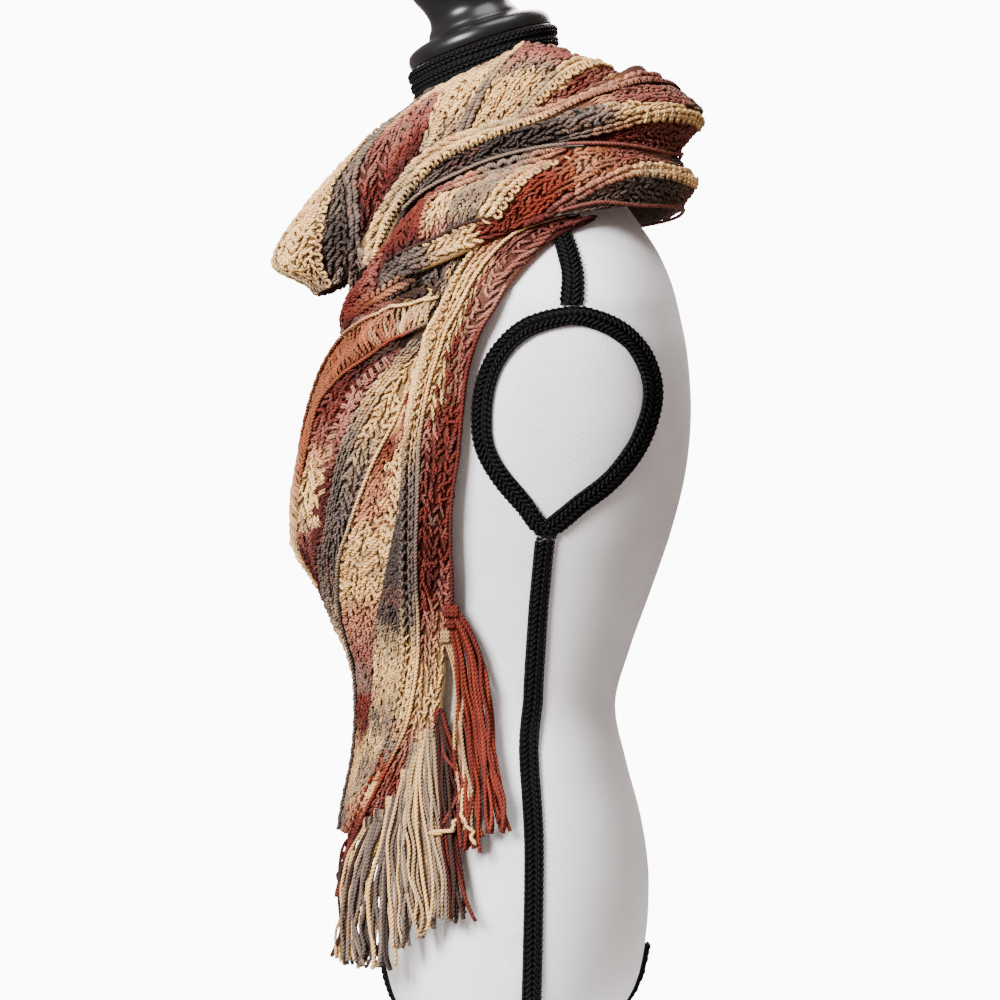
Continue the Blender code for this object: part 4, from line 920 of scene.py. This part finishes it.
def tube_parts(points, normals, radii, sides):
    """Corner points, faces, ply coordinates and underside shade of one bundle of tubes."""
    n, m = points.shape[:2]
    along = unit(np.gradient(points, axis=1))
    side = unit(np.cross(along, normals))
    up = np.cross(side, along)
    turn = np.arange(sides) * math.tau / sides
    ring = side[:, :, None] * np.cos(turn)[:, None] + up[:, :, None] * np.sin(turn)[:, None]
    verts = points[:, :, None] + ring * radii[:, :, None, None]
    index = np.arange(n * m * sides).reshape(n, m, sides)
    nxt = np.roll(index, -1, axis=2)
    quads = np.stack([index[:, :-1], index[:, 1:], nxt[:, 1:], nxt[:, :-1]], axis=-1).reshape(-1, 4)
    caps = np.concatenate([index[:, 0], index[:, -1, ::-1]])
    steps = np.linalg.norm(np.diff(points, axis=1), axis=-1)
    run = np.concatenate([np.zeros((n, 1)), np.cumsum(steps, axis=1)], axis=1)
    u0, u1, v0 = (np.broadcast_to(v, (n, m - 1, sides)) for v in
                  (run[:, :-1, None], run[:, 1:, None], np.arange(sides) / sides))
    v1 = v0 + 1 / sides
    uv = np.stack([np.stack(pair, -1) for pair in ((u0, v0), (u1, v0), (u1, v1), (u0, v1))], axis=3)
    return verts.reshape(-1, 3), quads, caps, uv.reshape(-1, 2), 0.74 + 0.26 * np.sin(turn)


def yarn_mesh(name, yarn, finish):
    """One piece of all the gathered tubes, coloured at its points."""
    verts, polygons, uvs, colours = [], [], [], []
    start = 0
    for points, normals, radii, shade, sides in yarn.bundles:
        v, quads, caps, uv, under = tube_parts(points, normals, radii, sides)
        verts.append(v)
        polygons += [quads + start, caps + start]
        uvs += [uv, np.zeros((caps.size, 2))]
        # Painted shade: each tube's colour darkened on its underside.
        tint = np.broadcast_to(shade, points.shape)[:, :, None, :] * under[None, None, :, None]
        colours.append(tint.reshape(-1, 3))
        start += len(v)
    return raw_mesh(name, np.concatenate(verts), polygons, np.concatenate(uvs), np.concatenate(colours),
                    finish)


def raw_mesh(name, verts, polygons, uvs, colours, finish):
    """A piece on the fixed body, from points in millimetres and arrays of faces."""
    loops = np.concatenate([faces.ravel() for faces in polygons])
    sizes = np.concatenate([np.full(len(faces), faces.shape[1]) for faces in polygons])
    mesh = bpy.data.meshes.new(name)
    mesh.vertices.add(len(verts))
    mesh.vertices.foreach_set("co", (verts * MM).astype(np.float32).ravel())
    mesh.loops.add(len(loops))
    mesh.loops.foreach_set("vertex_index", loops.astype(np.int32))
    mesh.polygons.add(len(sizes))
    mesh.polygons.foreach_set("loop_start", (np.cumsum(sizes) - sizes).astype(np.int32))
    mesh.polygons.foreach_set("use_smooth", sizes <= BIGGEST_SMOOTH_FACE)
    mesh.update(calc_edges=True)
    if uvs is not None:
        mesh.uv_layers.new(name="ply").data.foreach_set("uv", uvs.astype(np.float32).ravel())
    tint = mesh.color_attributes.new("shade", "FLOAT_COLOR", "POINT")
    rgba = np.concatenate([np.clip(colours, 0, 1), np.ones((len(colours), 1))], axis=1)
    tint.data.foreach_set("color", rgba.astype(np.float32).ravel())
    mesh.validate()
    made = add_object(name, mesh, finish)
    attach(made, "root")
    return made


def add_object(name, data, finish=None):
    made = bpy.data.objects.new(name, data)
    if finish:
        data.materials.append(finish)
    bpy.context.scene.collection.objects.link(made)
    return made


def ground_mesh(name, cloth, finish, t_step):
    """The closed thin shell of cloth under the stitches, creased between its rows."""
    cloth.fill_tint()
    rows, cols = (np.unique(np.append(np.arange(0, count - 1, step), count - 1)) for count, step in
                  ((len(cloth.s), GROUND_STEP), (len(cloth.t), t_step)))
    rows = rows[:-1] if cloth.is_loop else rows
    points, normals, tint = (grid[np.ix_(rows, cols)]
                             for grid in (cloth.points, cloth.normals, cloth.tint))
    crease = 0.25 * np.sin(np.arange(len(rows)) * 1.9)[:, None] * np.sin(np.arange(len(cols)) * 1.3)
    outer = points + normals * (crease - GROUND_DEPTH)[..., None]
    inner = points - normals * (WALL + RIB_RAISE)
    verts = np.concatenate([outer.reshape(-1, 3), inner.reshape(-1, 3)])
    n, m = points.shape[:2]
    index = np.arange(n * m).reshape(n, m)
    index = np.concatenate([index, index[:1]]) if cloth.is_loop else index
    top = np.stack([index[:-1, :-1], index[1:, :-1], index[1:, 1:], index[:-1, 1:]], -1).reshape(-1, 4)
    edges = [(index[:, 0], 1), (index[:, -1], -1)]
    if not cloth.is_loop:
        edges += [(index[0], -1), (index[-1], 1)]
    faces = np.concatenate([top, top[:, ::-1] + n * m] + [
        np.stack([edge[:-1], edge[:-1] + n * m, edge[1:] + n * m, edge[1:]], -1)[:, ::way]
        for edge, way in edges])
    a, b, c = (verts[top[:, k]] for k in (0, 1, 2))
    facing = (np.cross(b - a, c - a) * normals.reshape(-1, 3)[top[:, 0]]).sum()
    faces = faces if facing > 0 else faces[:, ::-1]
    # Painted shade: the shell takes the yarn's colour darkened, its outer face deep between the stitches to
    # 22 % and its underside to 60 %.
    dim = np.concatenate([tint.reshape(-1, 3) * 0.22, tint.reshape(-1, 3) * 0.6])
    return raw_mesh(name, verts, [faces], None, dim, finish)


# --------------------------------------------------------------------- materials
def node_maker(tree):
    """A function that adds nodes to a tree, their inputs set or linked."""
    def add(kind, inputs=(), **settings):
        made = tree.nodes.new("ShaderNode" + kind)
        for key, value in settings.items():
            setattr(made, key, value)
        fill(made, inputs)
        return made

    def fill(made, inputs):
        for key, value in dict(inputs).items():
            if isinstance(value, bpy.types.Node):
                value = value.outputs[0]
            if isinstance(value, bpy.types.NodeSocket):
                tree.links.new(value, made.inputs[key])
            else:
                made.inputs[key].default_value = value
    return add, fill


def add_ramp(add, source, ends, colours):
    ramp = add("ValToRGB", {0: source})
    for element, at, colour in zip(ramp.color_ramp.elements, ends, colours):
        element.position, element.color = at, (*colour, 1)
    return ramp


def new_look(name):
    """A new material, what adds nodes to it, and its place in the object."""
    made = bpy.data.materials.new(name)
    made.use_nodes = True
    add, fill = node_maker(made.node_tree)
    place = add("TexCoord").outputs["Object"]

    def finish(colour, height, strength, depth, rough, gloss):
        bump = add("Bump", {"Strength": strength, "Distance": depth, "Height": height})
        fill(made.node_tree.nodes["Principled BSDF"],
             {"Base Color": colour, "Normal": bump, "Roughness": rough, "Specular IOR Level": gloss})
        return made

    def noise(scale, detail):
        return add("TexNoise", {"Scale": scale, "Detail": detail, "Vector": place})
    return add, noise, place, finish


def yarn_material(name, rough, gloss):
    """Wool with its plies twisted along each strand, painted shade in the grooves between them, and a soft
    uneven dye.
    """
    add, noise, _, finish = new_look(name)
    split = add("SeparateXYZ", {0: add("UVMap", uv_map="ply")})
    turns = add("Math", {0: split.outputs[1], 1: 2 * math.tau}, operation="MULTIPLY")
    slope = add("Math", {0: split, 1: 1.9, 2: turns}, operation="MULTIPLY_ADD")
    wave = add("Math", {0: slope}, operation="SINE")
    fuzz = noise(900, 3)
    # Painted shade: the colour darkened in the grooves between the plies, a little lighter on their crests.
    ply_groove_shade = add("MapRange", {0: wave, 1: -1, 2: 0.6, 3: 0.52, 4: 1.06})
    speck = add("MapRange", {0: fuzz, 1: 0.3, 2: 0.75, 3: 0.82, 4: 1.12})
    level = add("Math", {0: ply_groove_shade, 1: speck}, operation="MULTIPLY")
    shade = add("VertexColor", layer_name="shade")
    tinted = add("VectorMath", {0: shade, "Scale": level}, operation="SCALE")
    height = add("Math", {0: fuzz, 1: 0.7, 2: wave}, operation="MULTIPLY_ADD")
    return finish(tinted, height, 0.6, 0.0006, rough, gloss)


def ground_material():
    """The matted depth of the cloth between its stitches, darkened by painted shade in its colours."""
    add, noise, _, finish = new_look("crochet_ground_look")
    fuzz = noise(420, 4)
    speck = add("MapRange", {0: fuzz, 1: 0.3, 2: 0.7, 3: 0.6, 4: 1.25})
    shade = add("VertexColor", layer_name="shade")
    tinted = add("VectorMath", {0: shade, "Scale": speck}, operation="SCALE")
    return finish(tinted, fuzz, 0.7, 0.001, 1.0, 0.05)


def speckled_material(name, colour, rough, scale, depth, spread, gloss=0.5):
    """A plain finish with a fine grain in its colour and surface."""
    add, noise, _, finish = new_look(name)
    grain = noise(scale, 5)
    colours = [[min(1, c * (1 + way * spread)) for c in colour] for way in (-1, 1)]
    return finish(add_ramp(add, grain, (0.3, 0.7), colours), grain, 0.5, depth, rough, gloss)


def linen_material():
    """White linen: a fine plain weave with slubs and faint greyed patches."""
    add, noise, place, finish = new_look("linen_look")
    waves = [add("TexWave", {"Scale": 260, "Distortion": 3, "Detail": 2, "Vector": place},
                 bands_direction=direction).outputs["Fac"] for direction in ("X", "Z")]
    weave = add("Math", {0: waves[0], 1: waves[1]}, operation="MULTIPLY")
    ramp = add_ramp(add, noise(9, 5), (0.34, 0.66), ((0.74, 0.735, 0.74), (0.86, 0.86, 0.865)))
    thread = add("MapRange", {0: weave, 3: 0.90, 4: 1.04})
    tinted = add("VectorMath", {0: ramp, "Scale": thread}, operation="SCALE")
    return finish(tinted, weave, 0.35, 0.0004, 0.9, 0.2)


def finish_nodes():
    """Better finishes for the nodes that are kept as they are."""
    linen = linen_material()
    wood = speckled_material("lacquer_look", (0.006, 0.006, 0.007), 0.30, 60, 0.0001, 0.25, 0.3)
    gimp = speckled_material("gimp_look", (0.0035, 0.0033, 0.0036), 0.85, 900, 0.0006, 0.5, 0.12)
    looks = {"form_torso": linen, "form_neck_cap": wood, "form_base": wood}
    for name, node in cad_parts.items():
        look = gimp if name.startswith("braid_") else looks.get(name)
        if look:
            node.data.materials.clear()
            node.data.materials.append(look)
    return wood, linen


# ------------------------------------------------------------------------ fringe
def bunch_paths(control, spreads, count, stagger, seed):
    """Strand paths of one bunch: its middle line spread out, waved, cut at odd lengths."""
    line = np.array(control, float)
    run = run_of(line)
    share = np.linspace(0, 1, 26)
    drape_at = smooth_table(DRAPE)
    paths, normals = [], []
    for k in range(count):
        at = share * (run[-1] - abs(RNG.normal(0, stagger * 0.6)))
        y, z = (np.pad(np.interp(at, run, values), 2, mode="edge") for values in line.T)
        y, z = (np.convolve(values, (0.1, 0.2, 0.4, 0.2, 0.1), "valid") for values in (y, z))
        rank = (k + 0.5) / count * 2 - 1 + RNG.normal(0, 0.12)
        y = y + rank * (spreads[0] * (1 - share) + spreads[1] * share)
        slow = RNG.normal(0, 2.7) * np.sin(share * RNG.uniform(5, 11) + RNG.uniform(0, 6))
        fast = RNG.normal(0, 1.3) * np.sin(share * RNG.uniform(14, 26) + RNG.uniform(0, 6))
        y = y + share ** 0.6 * (slow + fast)
        y = y + RNG.normal(0, 90) * np.clip(share - 0.86, 0, 1) ** 2 * spreads[1] / 6
        layer = (-1.4 + 3.1 * ((k + seed) % 3) * np.minimum(1, 0.15 + 2.2 * share)
                 + RNG.normal(0, 1.1) * np.sin(share * RNG.uniform(3, 9)) + RNG.normal(0, 0.5))
        drape = drape_at(z)
        angle = outline_angle(drape, y)
        paths.append(outline_points(drape, angle, np.maximum(layer, -1.6)))
        normals.append(outline_points(drape, angle, layer * 0 + 1) - outline_points(drape, angle, layer * 0))
    return np.array(paths), np.array(normals)


def lay_fringe():
    """The left tail's fringe in bunches, knotted over the edge, with two stray strands."""
    yarn = Yarn()
    for seed, (head, body) in enumerate(read_entries(LEFT_BUNCHES)):
        root, end, count, stagger = map(float, head[:4])
        names, count = head[4:], round(count * 1.5)
        points, normals = bunch_paths(read_points(body), (root, end), count, stagger, seed)
        colours = np.array([HUES[names[RNG.integers(len(names))]] for _ in range(count)])[:, None, :]
        colours = colours * jitter((count, 1, 1), 0.14, 1)
        share = np.linspace(0, 1, points.shape[1])[None, :, None]
        radii = FRINGE_RADIUS * jitter(count, 0.1, 1)
        # Painted shade: each strand darker toward its root under the cloth's edge.
        yarn.add(points, normals, radii, colours * (0.72 + 0.28 * share ** 0.5))
        knot_loops(yarn, points[::2, 0], normals[::2, 0], colours[::2] * 0.9)
    for head, body in read_entries(STRAYS):
        points, normals = bunch_paths(read_points(body), (0, 0), 1, 2, 2)
        yarn.add(points + normals * 3, normals, 1.7, HUES[head[0]])
    return yarn


def knot_loops(yarn, roots, normals, colours):
    """A short loop over the cloth's edge at each strand's root."""
    turn = (np.pi * (np.linspace(0, 1, 8) * 1.3 - 0.15))[None, :, None]
    up = np.array([0, 0, 1.0])
    roots, normals = roots[:, None], normals[:, None]
    points = roots + up * (6.5 * np.sin(turn) - 2.5) + normals * (1.0 + 1.2 * np.cos(turn))
    yarn.add(points, np.broadcast_to(np.cross(up, normals), points.shape), 1.7, colours)


def lay_right_fringe():
    """The hidden tail's fringe, a plain row of straight bunches."""
    yarn = Yarn()
    names = ("cream", "rust", "grey", "cream", "maroon")
    mirror = np.array([-1, 1, 1])
    for i in range(RIGHT_BUNCHES):
        y = -42 - i * 5.2
        control = ((y, 330), (y - 3, 292), (y - 6, 240), (y - 8, 188))
        points, normals = bunch_paths(control, (2.2, 3.2), 5, 12, i)
        yarn.add(points * mirror, normals * mirror, 1.75, HUES[names[i % 5]] * jitter((5, 1, 1), 0.1, 1), 4)
    return yarn


# ------------------------------------------------------- braids and turned pieces
def ring_table(ring):
    """The torso's table at ring numbers."""
    return smooth_table([(i, *values) for i, values in enumerate(TORSO_RINGS)])(ring).T[1:]


def ring_points(ring, angle):
    """Points of the torso at ring numbers and angles (0 left side, 90 back)."""
    front_y, front_z, back_y, back_z, wide, half_width, square_front, square_back = ring_table(ring)
    c, s = np.cos(angle), np.sin(angle)
    square = np.where(s > 0, square_back, square_front)
    share = wide + signed_power(s, 2 / square) * np.where(s > 0, 1 - wide, wide)
    x = half_width * signed_power(c, 2 / square)
    y = front_y + share * (back_y - front_y)
    z = front_z + share * (back_z - front_z)
    off = ((abs(x) - BUST_SPREAD) ** 2 + (z - BUST_HEIGHT) ** 2) / BUST_RADIUS ** 2
    y = y - np.where(s < 0, BUST_DEPTH * np.exp(-off) * np.minimum(1, -2 * s), 0)
    return np.stack([x, y, z], axis=-1)


def torso_points(ring, angle, lift):
    """Points lifted off the torso, with its outward normals there."""
    across = ring_points(ring, angle + 0.02) - ring_points(ring, angle - 0.02)
    above, below = np.minimum(ring + 0.02, LAST_RING), np.maximum(ring - 0.02, 0)
    up = ring_points(above, angle) - ring_points(below, angle)
    normal = unit(np.cross(across, up))
    return ring_points(ring, angle) + normal * lift, normal


def lay_on(axis, low, high, way=1):
    """A rule that lays flat spots on a side of the torso, by angle between two limits."""
    def lay(spots, lift):
        fine = np.linspace(0, LAST_RING, 1200)
        ring = np.interp(spots[:, 1], ring_points(fine, fine * 0 - math.pi / 2)[:, 2], fine)
        under, over = np.full(len(ring), low), np.full(len(ring), high)
        for _ in range(30):
            middle = (under + over) / 2
            short = ring_points(ring, middle)[:, axis] < spots[:, 0]
            under, over = np.where(short, middle, under), np.where(short, over, middle)
        return torso_points(ring, way * (under + over) / 2, lift)
    return lay


def lay_on_shoulder(spots, lift):
    front_y, _, back_y = ring_table(spots[:, 1])[:3]
    return torso_points(spots[:, 1], 2 * spots[:, 0] / (back_y - front_y), lift)


def flat_curve(controls, step, closed):
    """Points about a step apart on a smooth flat curve through control points."""
    data = np.array(controls, float)
    count = len(data)
    found = []
    for i in range(count if closed else count - 1):
        ids = [(i + k) % count if closed else min(max(i + k, 0), count - 1) for k in (-1, 0, 1, 2)]
        pieces = max(1, round(float(np.linalg.norm(data[ids[2]] - data[ids[1]])) / step))
        found += [spline(*data[ids], t) for t in np.arange(pieces) / pieces]
    return np.array(found + [found[0] if closed else data[-1]])


def torso_ribbon(path, closed, lay, pitch, lift):
    """A ribbon along a flat path that a rule lays on the torso."""
    ahead = np.gradient(path, axis=0)
    if closed:
        ahead[0] = ahead[-1] = path[1] - path[-2]
    ahead /= np.linalg.norm(ahead, axis=1, keepdims=True)
    over = np.stack([-ahead[:, 1], ahead[:, 0]], axis=1) * BRAID_WIDTH / 2
    return Ribbon(lay(path - over, lift)[0], lay(path + over, lift)[0], lay(path, lift)[1], pitch)


def lay_gimp(yarn, ribbon, plaits, side, sides):
    """Glossy twisted gimp: slanted plumps meeting along each plait, and scalloped edges."""
    cells = np.arange(ribbon.cells)[:, None] + 0.5
    n = len(cells)
    t = np.linspace(0, 1, sides)[None, :]
    flip = np.array([side, 1, 1])
    units = []
    for plait in range(plaits):
        for leg in (-1, 1):
            h = -0.1 + 1.1 * hump(0.2 + 0.65 * t) + jitter(n, 0.15)
            units.append((1.25 * t - 0.6, (plait + 0.5 + leg * (0.03 + 0.30 * t)) / plaits, h))
    for edge, out in ((0.11, -1), (0.89, 1)):
        units.append((0.19 + 0.62 * t, edge + out * (0.075 * hump(t) - 0.02) / plaits, -0.5 + 0.5 * hump(t)))
    for along, y, h in units:
        x = cells + along
        points, normals = ribbon.place(x, np.broadcast_to(y, x.shape), np.broadcast_to(h, x.shape))
        yarn.add(points * flip, normals * flip, 1.35 * (0.72 + 0.28 * hump(t)),
                 GIMP_SHADE * jitter((n, 1, 1), 0.15, 1), sides)


def ring_shell(name, rings, tip, shade, finish, node):
    """A closed smooth shell through rings, in place of its node: its foot flat, its top flat or a tip."""
    levels, sides = rings.shape[:2]
    verts = rings.reshape(-1, 3)
    index = np.arange(levels * sides).reshape(levels, sides)
    nxt = np.roll(index, -1, axis=1)
    faces = [ring_quads(index, nxt), index[:1, ::-1], index[-1:]]
    if tip is not None:
        fan = np.stack([index[-1], nxt[-1], np.full(sides, len(verts))], -1)
        faces = [polygons[:, ::-1] for polygons in (faces[0], fan, faces[1])]
        verts = np.concatenate([verts, [tip]])
    made = raw_mesh(name, verts, faces, None, np.full((len(verts), 3), shade), finish)
    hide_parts(node)


def lathe(name, profile, top, seat, ahead, finish, node):
    """A turned wooden piece with a smooth profile and round rim."""
    across = np.array([1.0, 0, 0])
    axis = np.cross(ahead, across)
    line = flat_curve(profile, 1.6, False)
    turn = np.arange(TURNED_SIDES) * math.tau / TURNED_SIDES
    spokes = across * np.cos(turn)[:, None] + ahead * np.sin(turn)[:, None]
    rings = seat + axis * line[:, 1, None, None] + spokes[None] * line[:, 0, None, None]
    ring_shell(name, rings, seat + axis * top, 0.01, finish, node)


def make_form_trim(wood, linen):
    """A smooth cover and foot, gimp on every braid of the form, and the turned cap."""
    ring, turn = np.meshgrid(np.linspace(0, LAST_RING, COVER_LEVELS),
                             np.arange(COVER_SIDES) * math.tau / COVER_SIDES, indexing="ij")
    cover = ring_points(ring.ravel(), turn.ravel()).reshape(*ring.shape, 3)
    ring_shell("torso_linen_cover", cover, None, 0.8, linen, "form_torso")
    gimp = yarn_material("gimp_look_twisted", 0.6, 0.13)
    yarn = Yarn()
    lay_on_side = lay_on(1, -math.pi / 2, math.pi / 2)
    for side, pitch, sides in ((1, 4.6, 5), (-1, 6.4, 4)):
        loop = torso_ribbon(flat_curve(ARMHOLE, 4, True), True, lay_on_side, pitch, GIMP_LIFT + 0.5)
        down = flat_curve(((22, 447),) + SIDE_SEAM, 6, False)
        seam = torso_ribbon(down, False, lay_on_side, pitch, GIMP_LIFT)
        crown = np.stack([np.zeros(60), np.linspace(*SHOULDER_RINGS, 60)], axis=1)
        half = np.array([BRAID_WIDTH / 2, 0])
        first, second = (lay_on_shoulder(crown + half * k, GIMP_LIFT)[0] for k in (-1, 1))
        shoulder = Ribbon(first, second, lay_on_shoulder(crown, GIMP_LIFT)[1], pitch)
        for ribbon in (loop, seam, shoulder):
            lay_gimp(yarn, ribbon, 1, side, sides)
    for lay in (lay_on(0, -math.pi, 0.0), lay_on(0, -math.pi, 0.0, -1)):
        lay_gimp(yarn, torso_ribbon(flat_curve(MIDDLE_SEAM, 6, False), False, lay, 5.4, GIMP_LIFT), 1, 1, 5)
    turn = np.linspace(0, math.tau, 181)
    low, high = (torso_points(np.full(181, ring), turn, 2.4) for ring in NECK_BRAID_RINGS)
    lay_gimp(yarn, Ribbon(low[0], high[0], low[1], 4.8), 3, 1, 5)
    yarn_mesh("form_gimp_braid", yarn, gimp)
    front, back = (np.array([0.0, *TORSO_RINGS[-1][k:k + 2]]) for k in (0, 2))
    ahead = (front - back) / np.linalg.norm(front - back)
    seat = (front + back) / 2 + 0.3 * np.cross(ahead, (1.0, 0, 0))
    lathe("neck_cap_turned", CAP_PROFILE, CAP_TOP, seat, ahead, wood, "form_neck_cap")
    lathe("foot_turned", FOOT_PROFILE, FOOT_TOP, np.zeros(3), np.array([0, -1.0, 0]), wood, "form_base")


# -------------------------------------------------------------------- the pieces
def place_cloth(node, cloth, yarn, looks, t_step, size, rests_on):
    """A stretch's shell and stitches, standing for its solid."""
    wool, ground = looks
    shell = ground_mesh(node + "_cloth", cloth, ground, t_step)
    loops = yarn_mesh(node + "_stitches", yarn, wool)
    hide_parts(node)
    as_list(rests_on)


def lay_bridge(yarn, upper_line, lower_line):
    """Stitches over the deep fold where the lower roll crosses the tail."""
    (top, _), (foot, _) = upper_line, lower_line
    normal = np.broadcast_to(np.array([0.8, -0.6, 0.0]), top.shape)
    for low, high, names, depth in BRIDGE_ROWS:
        first, second = top * (1 - low) + foot * low, top * (1 - high) + foot * high
        ribbon = Ribbon(first, second, normal, 7.5)
        cells = np.arange(ribbon.cells)[:, None] + 0.5
        n = len(cells)
        t = np.linspace(0, 1, 6)[None, :]
        shade = tones(tuple(enumerate(names)), cells[:, 0] / ribbon.cells * (len(names) - 1))
        for leg in (-1, 1):
            x = cells + 1.3 * t - 0.65 + jitter(n, 0.06)
            y = 0.5 + leg * (0.03 + 0.46 * t) + jitter(n, 0.03)
            points, normals = ribbon.place(x, y, depth + 1.6 * hump(0.15 + 0.7 * t))
            # Painted shade: each leg darker toward the point where the two legs meet.
            colour = shade[:, None, :] * jitter((n, 1, 1), 0.12, 1) * (0.45 + 0.55 * t[..., None])
            yarn.add(points, normals, 2.2 * (0.7 + 0.3 * hump(t)), colour)


def lay_right_tail(cloth):
    """Straight rows down the hidden tail, each with the yarn's colours in another order."""
    yarn = Yarn()
    for i in range(8):
        stops = [(z, RIGHT_TONES[(i + 3 * j) % 8]) for j, z in enumerate(RIGHT_HEIGHTS)]
        lines = [((700, i + share), (325, i + share)) for share in (0.04, 0.96)]
        lay_row(yarn, cloth, "field", lines, 0, stops, None, PLAIN)
    return yarn


def make_scarf():
    looks = yarn_material("crochet_yarn_look", 0.92, 0.12), ground_material()
    inner, upper, lower = (wound_cloth(rows) for rows in (INNER_WRAP, UPPER_ROLL, LOWER_ROLL))
    # Painted shadow: dark umber laid along the upper roll's top edge, spread over its unworked cloth, for the
    # shaded gap against the inner stretch.
    for line in (LINES["V_TOP"], turned_over(LINES["V_TOP"])):
        upper.paint(*np.array(line, float).T, HUES["umber"] * 0.4)
    left = tail_cloth(LEFT_TAIL, LEFT_RIBS, LEFT_FOLDS, LEFT_STEPS, 1)
    right = tail_cloth(RIGHT_TAIL, RIGHT_RIBS, RIGHT_FOLDS, RIGHT_STEPS, -1)
    torso = ["torso_linen_cover"]
    for node, cloth, text, size, under in (
            ("wrap_inner", inner, INNER_WORK, (0.12, 0.72), torso),
            ("wrap_outer_upper", upper, UPPER_WORK, (0.08, 0.86), ["wrap_inner_cloth"]),
            ("wrap_outer_lower", lower, LOWER_WORK, (0.08, 0.95), torso)):
        place_cloth(node, cloth, lay_work(cloth, text, FINE), looks, 2, size, under)
    tail = lay_work(left, LEFT_WORK, LIGHT)
    along = np.linspace(0, 1, 40)
    lay_bridge(tail, lower.at(-72 + 34 * along, 0 * along + 0.97),
               left.at(617 + 14 * along, 9.6 - 5.6 * along))
    place_cloth("tail_left", left, tail, looks, 1, (0.24, 0.52), torso)
    place_cloth("tail_right", right, lay_right_tail(right), looks, 1, (0.14, 0.38), torso)
    for side, lay in (("left", lay_fringe), ("right", lay_right_fringe)):
        fringe = yarn_mesh("fringe_" + side + "_yarn", lay(), looks[0])
        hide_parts("fringe_" + side)


# ------------------------------------------------------------------ studio, camera
def area_light(name, place, aim, size, power, colour=(1, 1, 1)):
    lamp = bpy.data.lights.new(name, "AREA")
    lamp.shape = "RECTANGLE"
    lamp.size = lamp.size_y = size
    lamp.energy, lamp.color = power, colour
    made = add_object(name, lamp)
    made.location = place
    x, y, z = np.array(aim, float) - np.array(place, float)
    tilt = math.atan2(z, math.hypot(x, y))
    made.rotation_euler = (math.pi / 2 + tilt, 0, math.atan2(y, x) - math.pi / 2)


def make_studio():
    """A dim warm room, a white patch behind the subject, a soft key, a far fill and a floor."""
    world = bpy.data.worlds.new("studio")
    world.use_nodes = True
    add, fill = node_maker(world.node_tree)
    split = add("SeparateXYZ", {0: add("TexCoord").outputs["Generated"]})
    patch = add("MapRange", {0: split, 1: -0.980, 2: -0.962, 3: 1, 4: 0}, interpolation_type="SMOOTHSTEP")
    blend = add("Mix", {0: patch, 6: (*ROOM_LIGHT, 1), 7: (BACK_LIGHT, BACK_LIGHT, BACK_LIGHT, 1)},
                data_type="RGBA")
    fill(world.node_tree.nodes["Background"], {0: blend.outputs[2], 1: 1})
    bpy.context.scene.world = world
    area_light("key", (2.45, -1.85, 1.85), (0, 0, 0.5), 1.3, KEY_LIGHT)
    area_light("fill", (-2.2, 0.5, 1.9), (0, 0, 0.5), 1.5, FILL_LIGHT, (1, 0.93, 0.9))
    area_light("top", (0.5, 0.25, 2.6), (0, 0, 0.6), 1.2, TOP_LIGHT)
    mesh = bpy.data.meshes.new("floor")
    sides = FLOOR_SIDES
    turns = [math.tau * i / sides for i in range(sides)]
    rim = [(FLOOR_RADIUS * math.cos(a), FLOOR_RADIUS * math.sin(a)) for a in turns]
    walls = [(i, (i + 1) % sides, sides + (i + 1) % sides, sides + i) for i in range(sides)]
    mesh.from_pydata([(*spot, z) for z in (-0.012, -0.0005) for spot in rim], [],
                     [tuple(reversed(range(sides))), tuple(range(sides, 2 * sides))] + walls)
    floor = add_object("floor", mesh, speckled_material("floor_look", (0.8, 0.8, 0.79), 0.7, 8, 0.0001, 0.02))


def make_camera():
    lens = bpy.data.cameras.new("camera")
    lens.sensor_width = FILM_WIDTH
    lens.lens = FILM_WIDTH * CAMERA_DISTANCE / VIEW_WIDTH
    lens.clip_start = 0.05
    camera = add_object("camera", lens)
    camera.location = (CAMERA_DISTANCE, *CAMERA_AIM)
    camera.rotation_euler = (math.pi / 2, 0, math.pi / 2)
    bpy.context.scene.camera = camera


make_form_trim(*finish_nodes())
make_scarf()
make_studio()
make_camera()
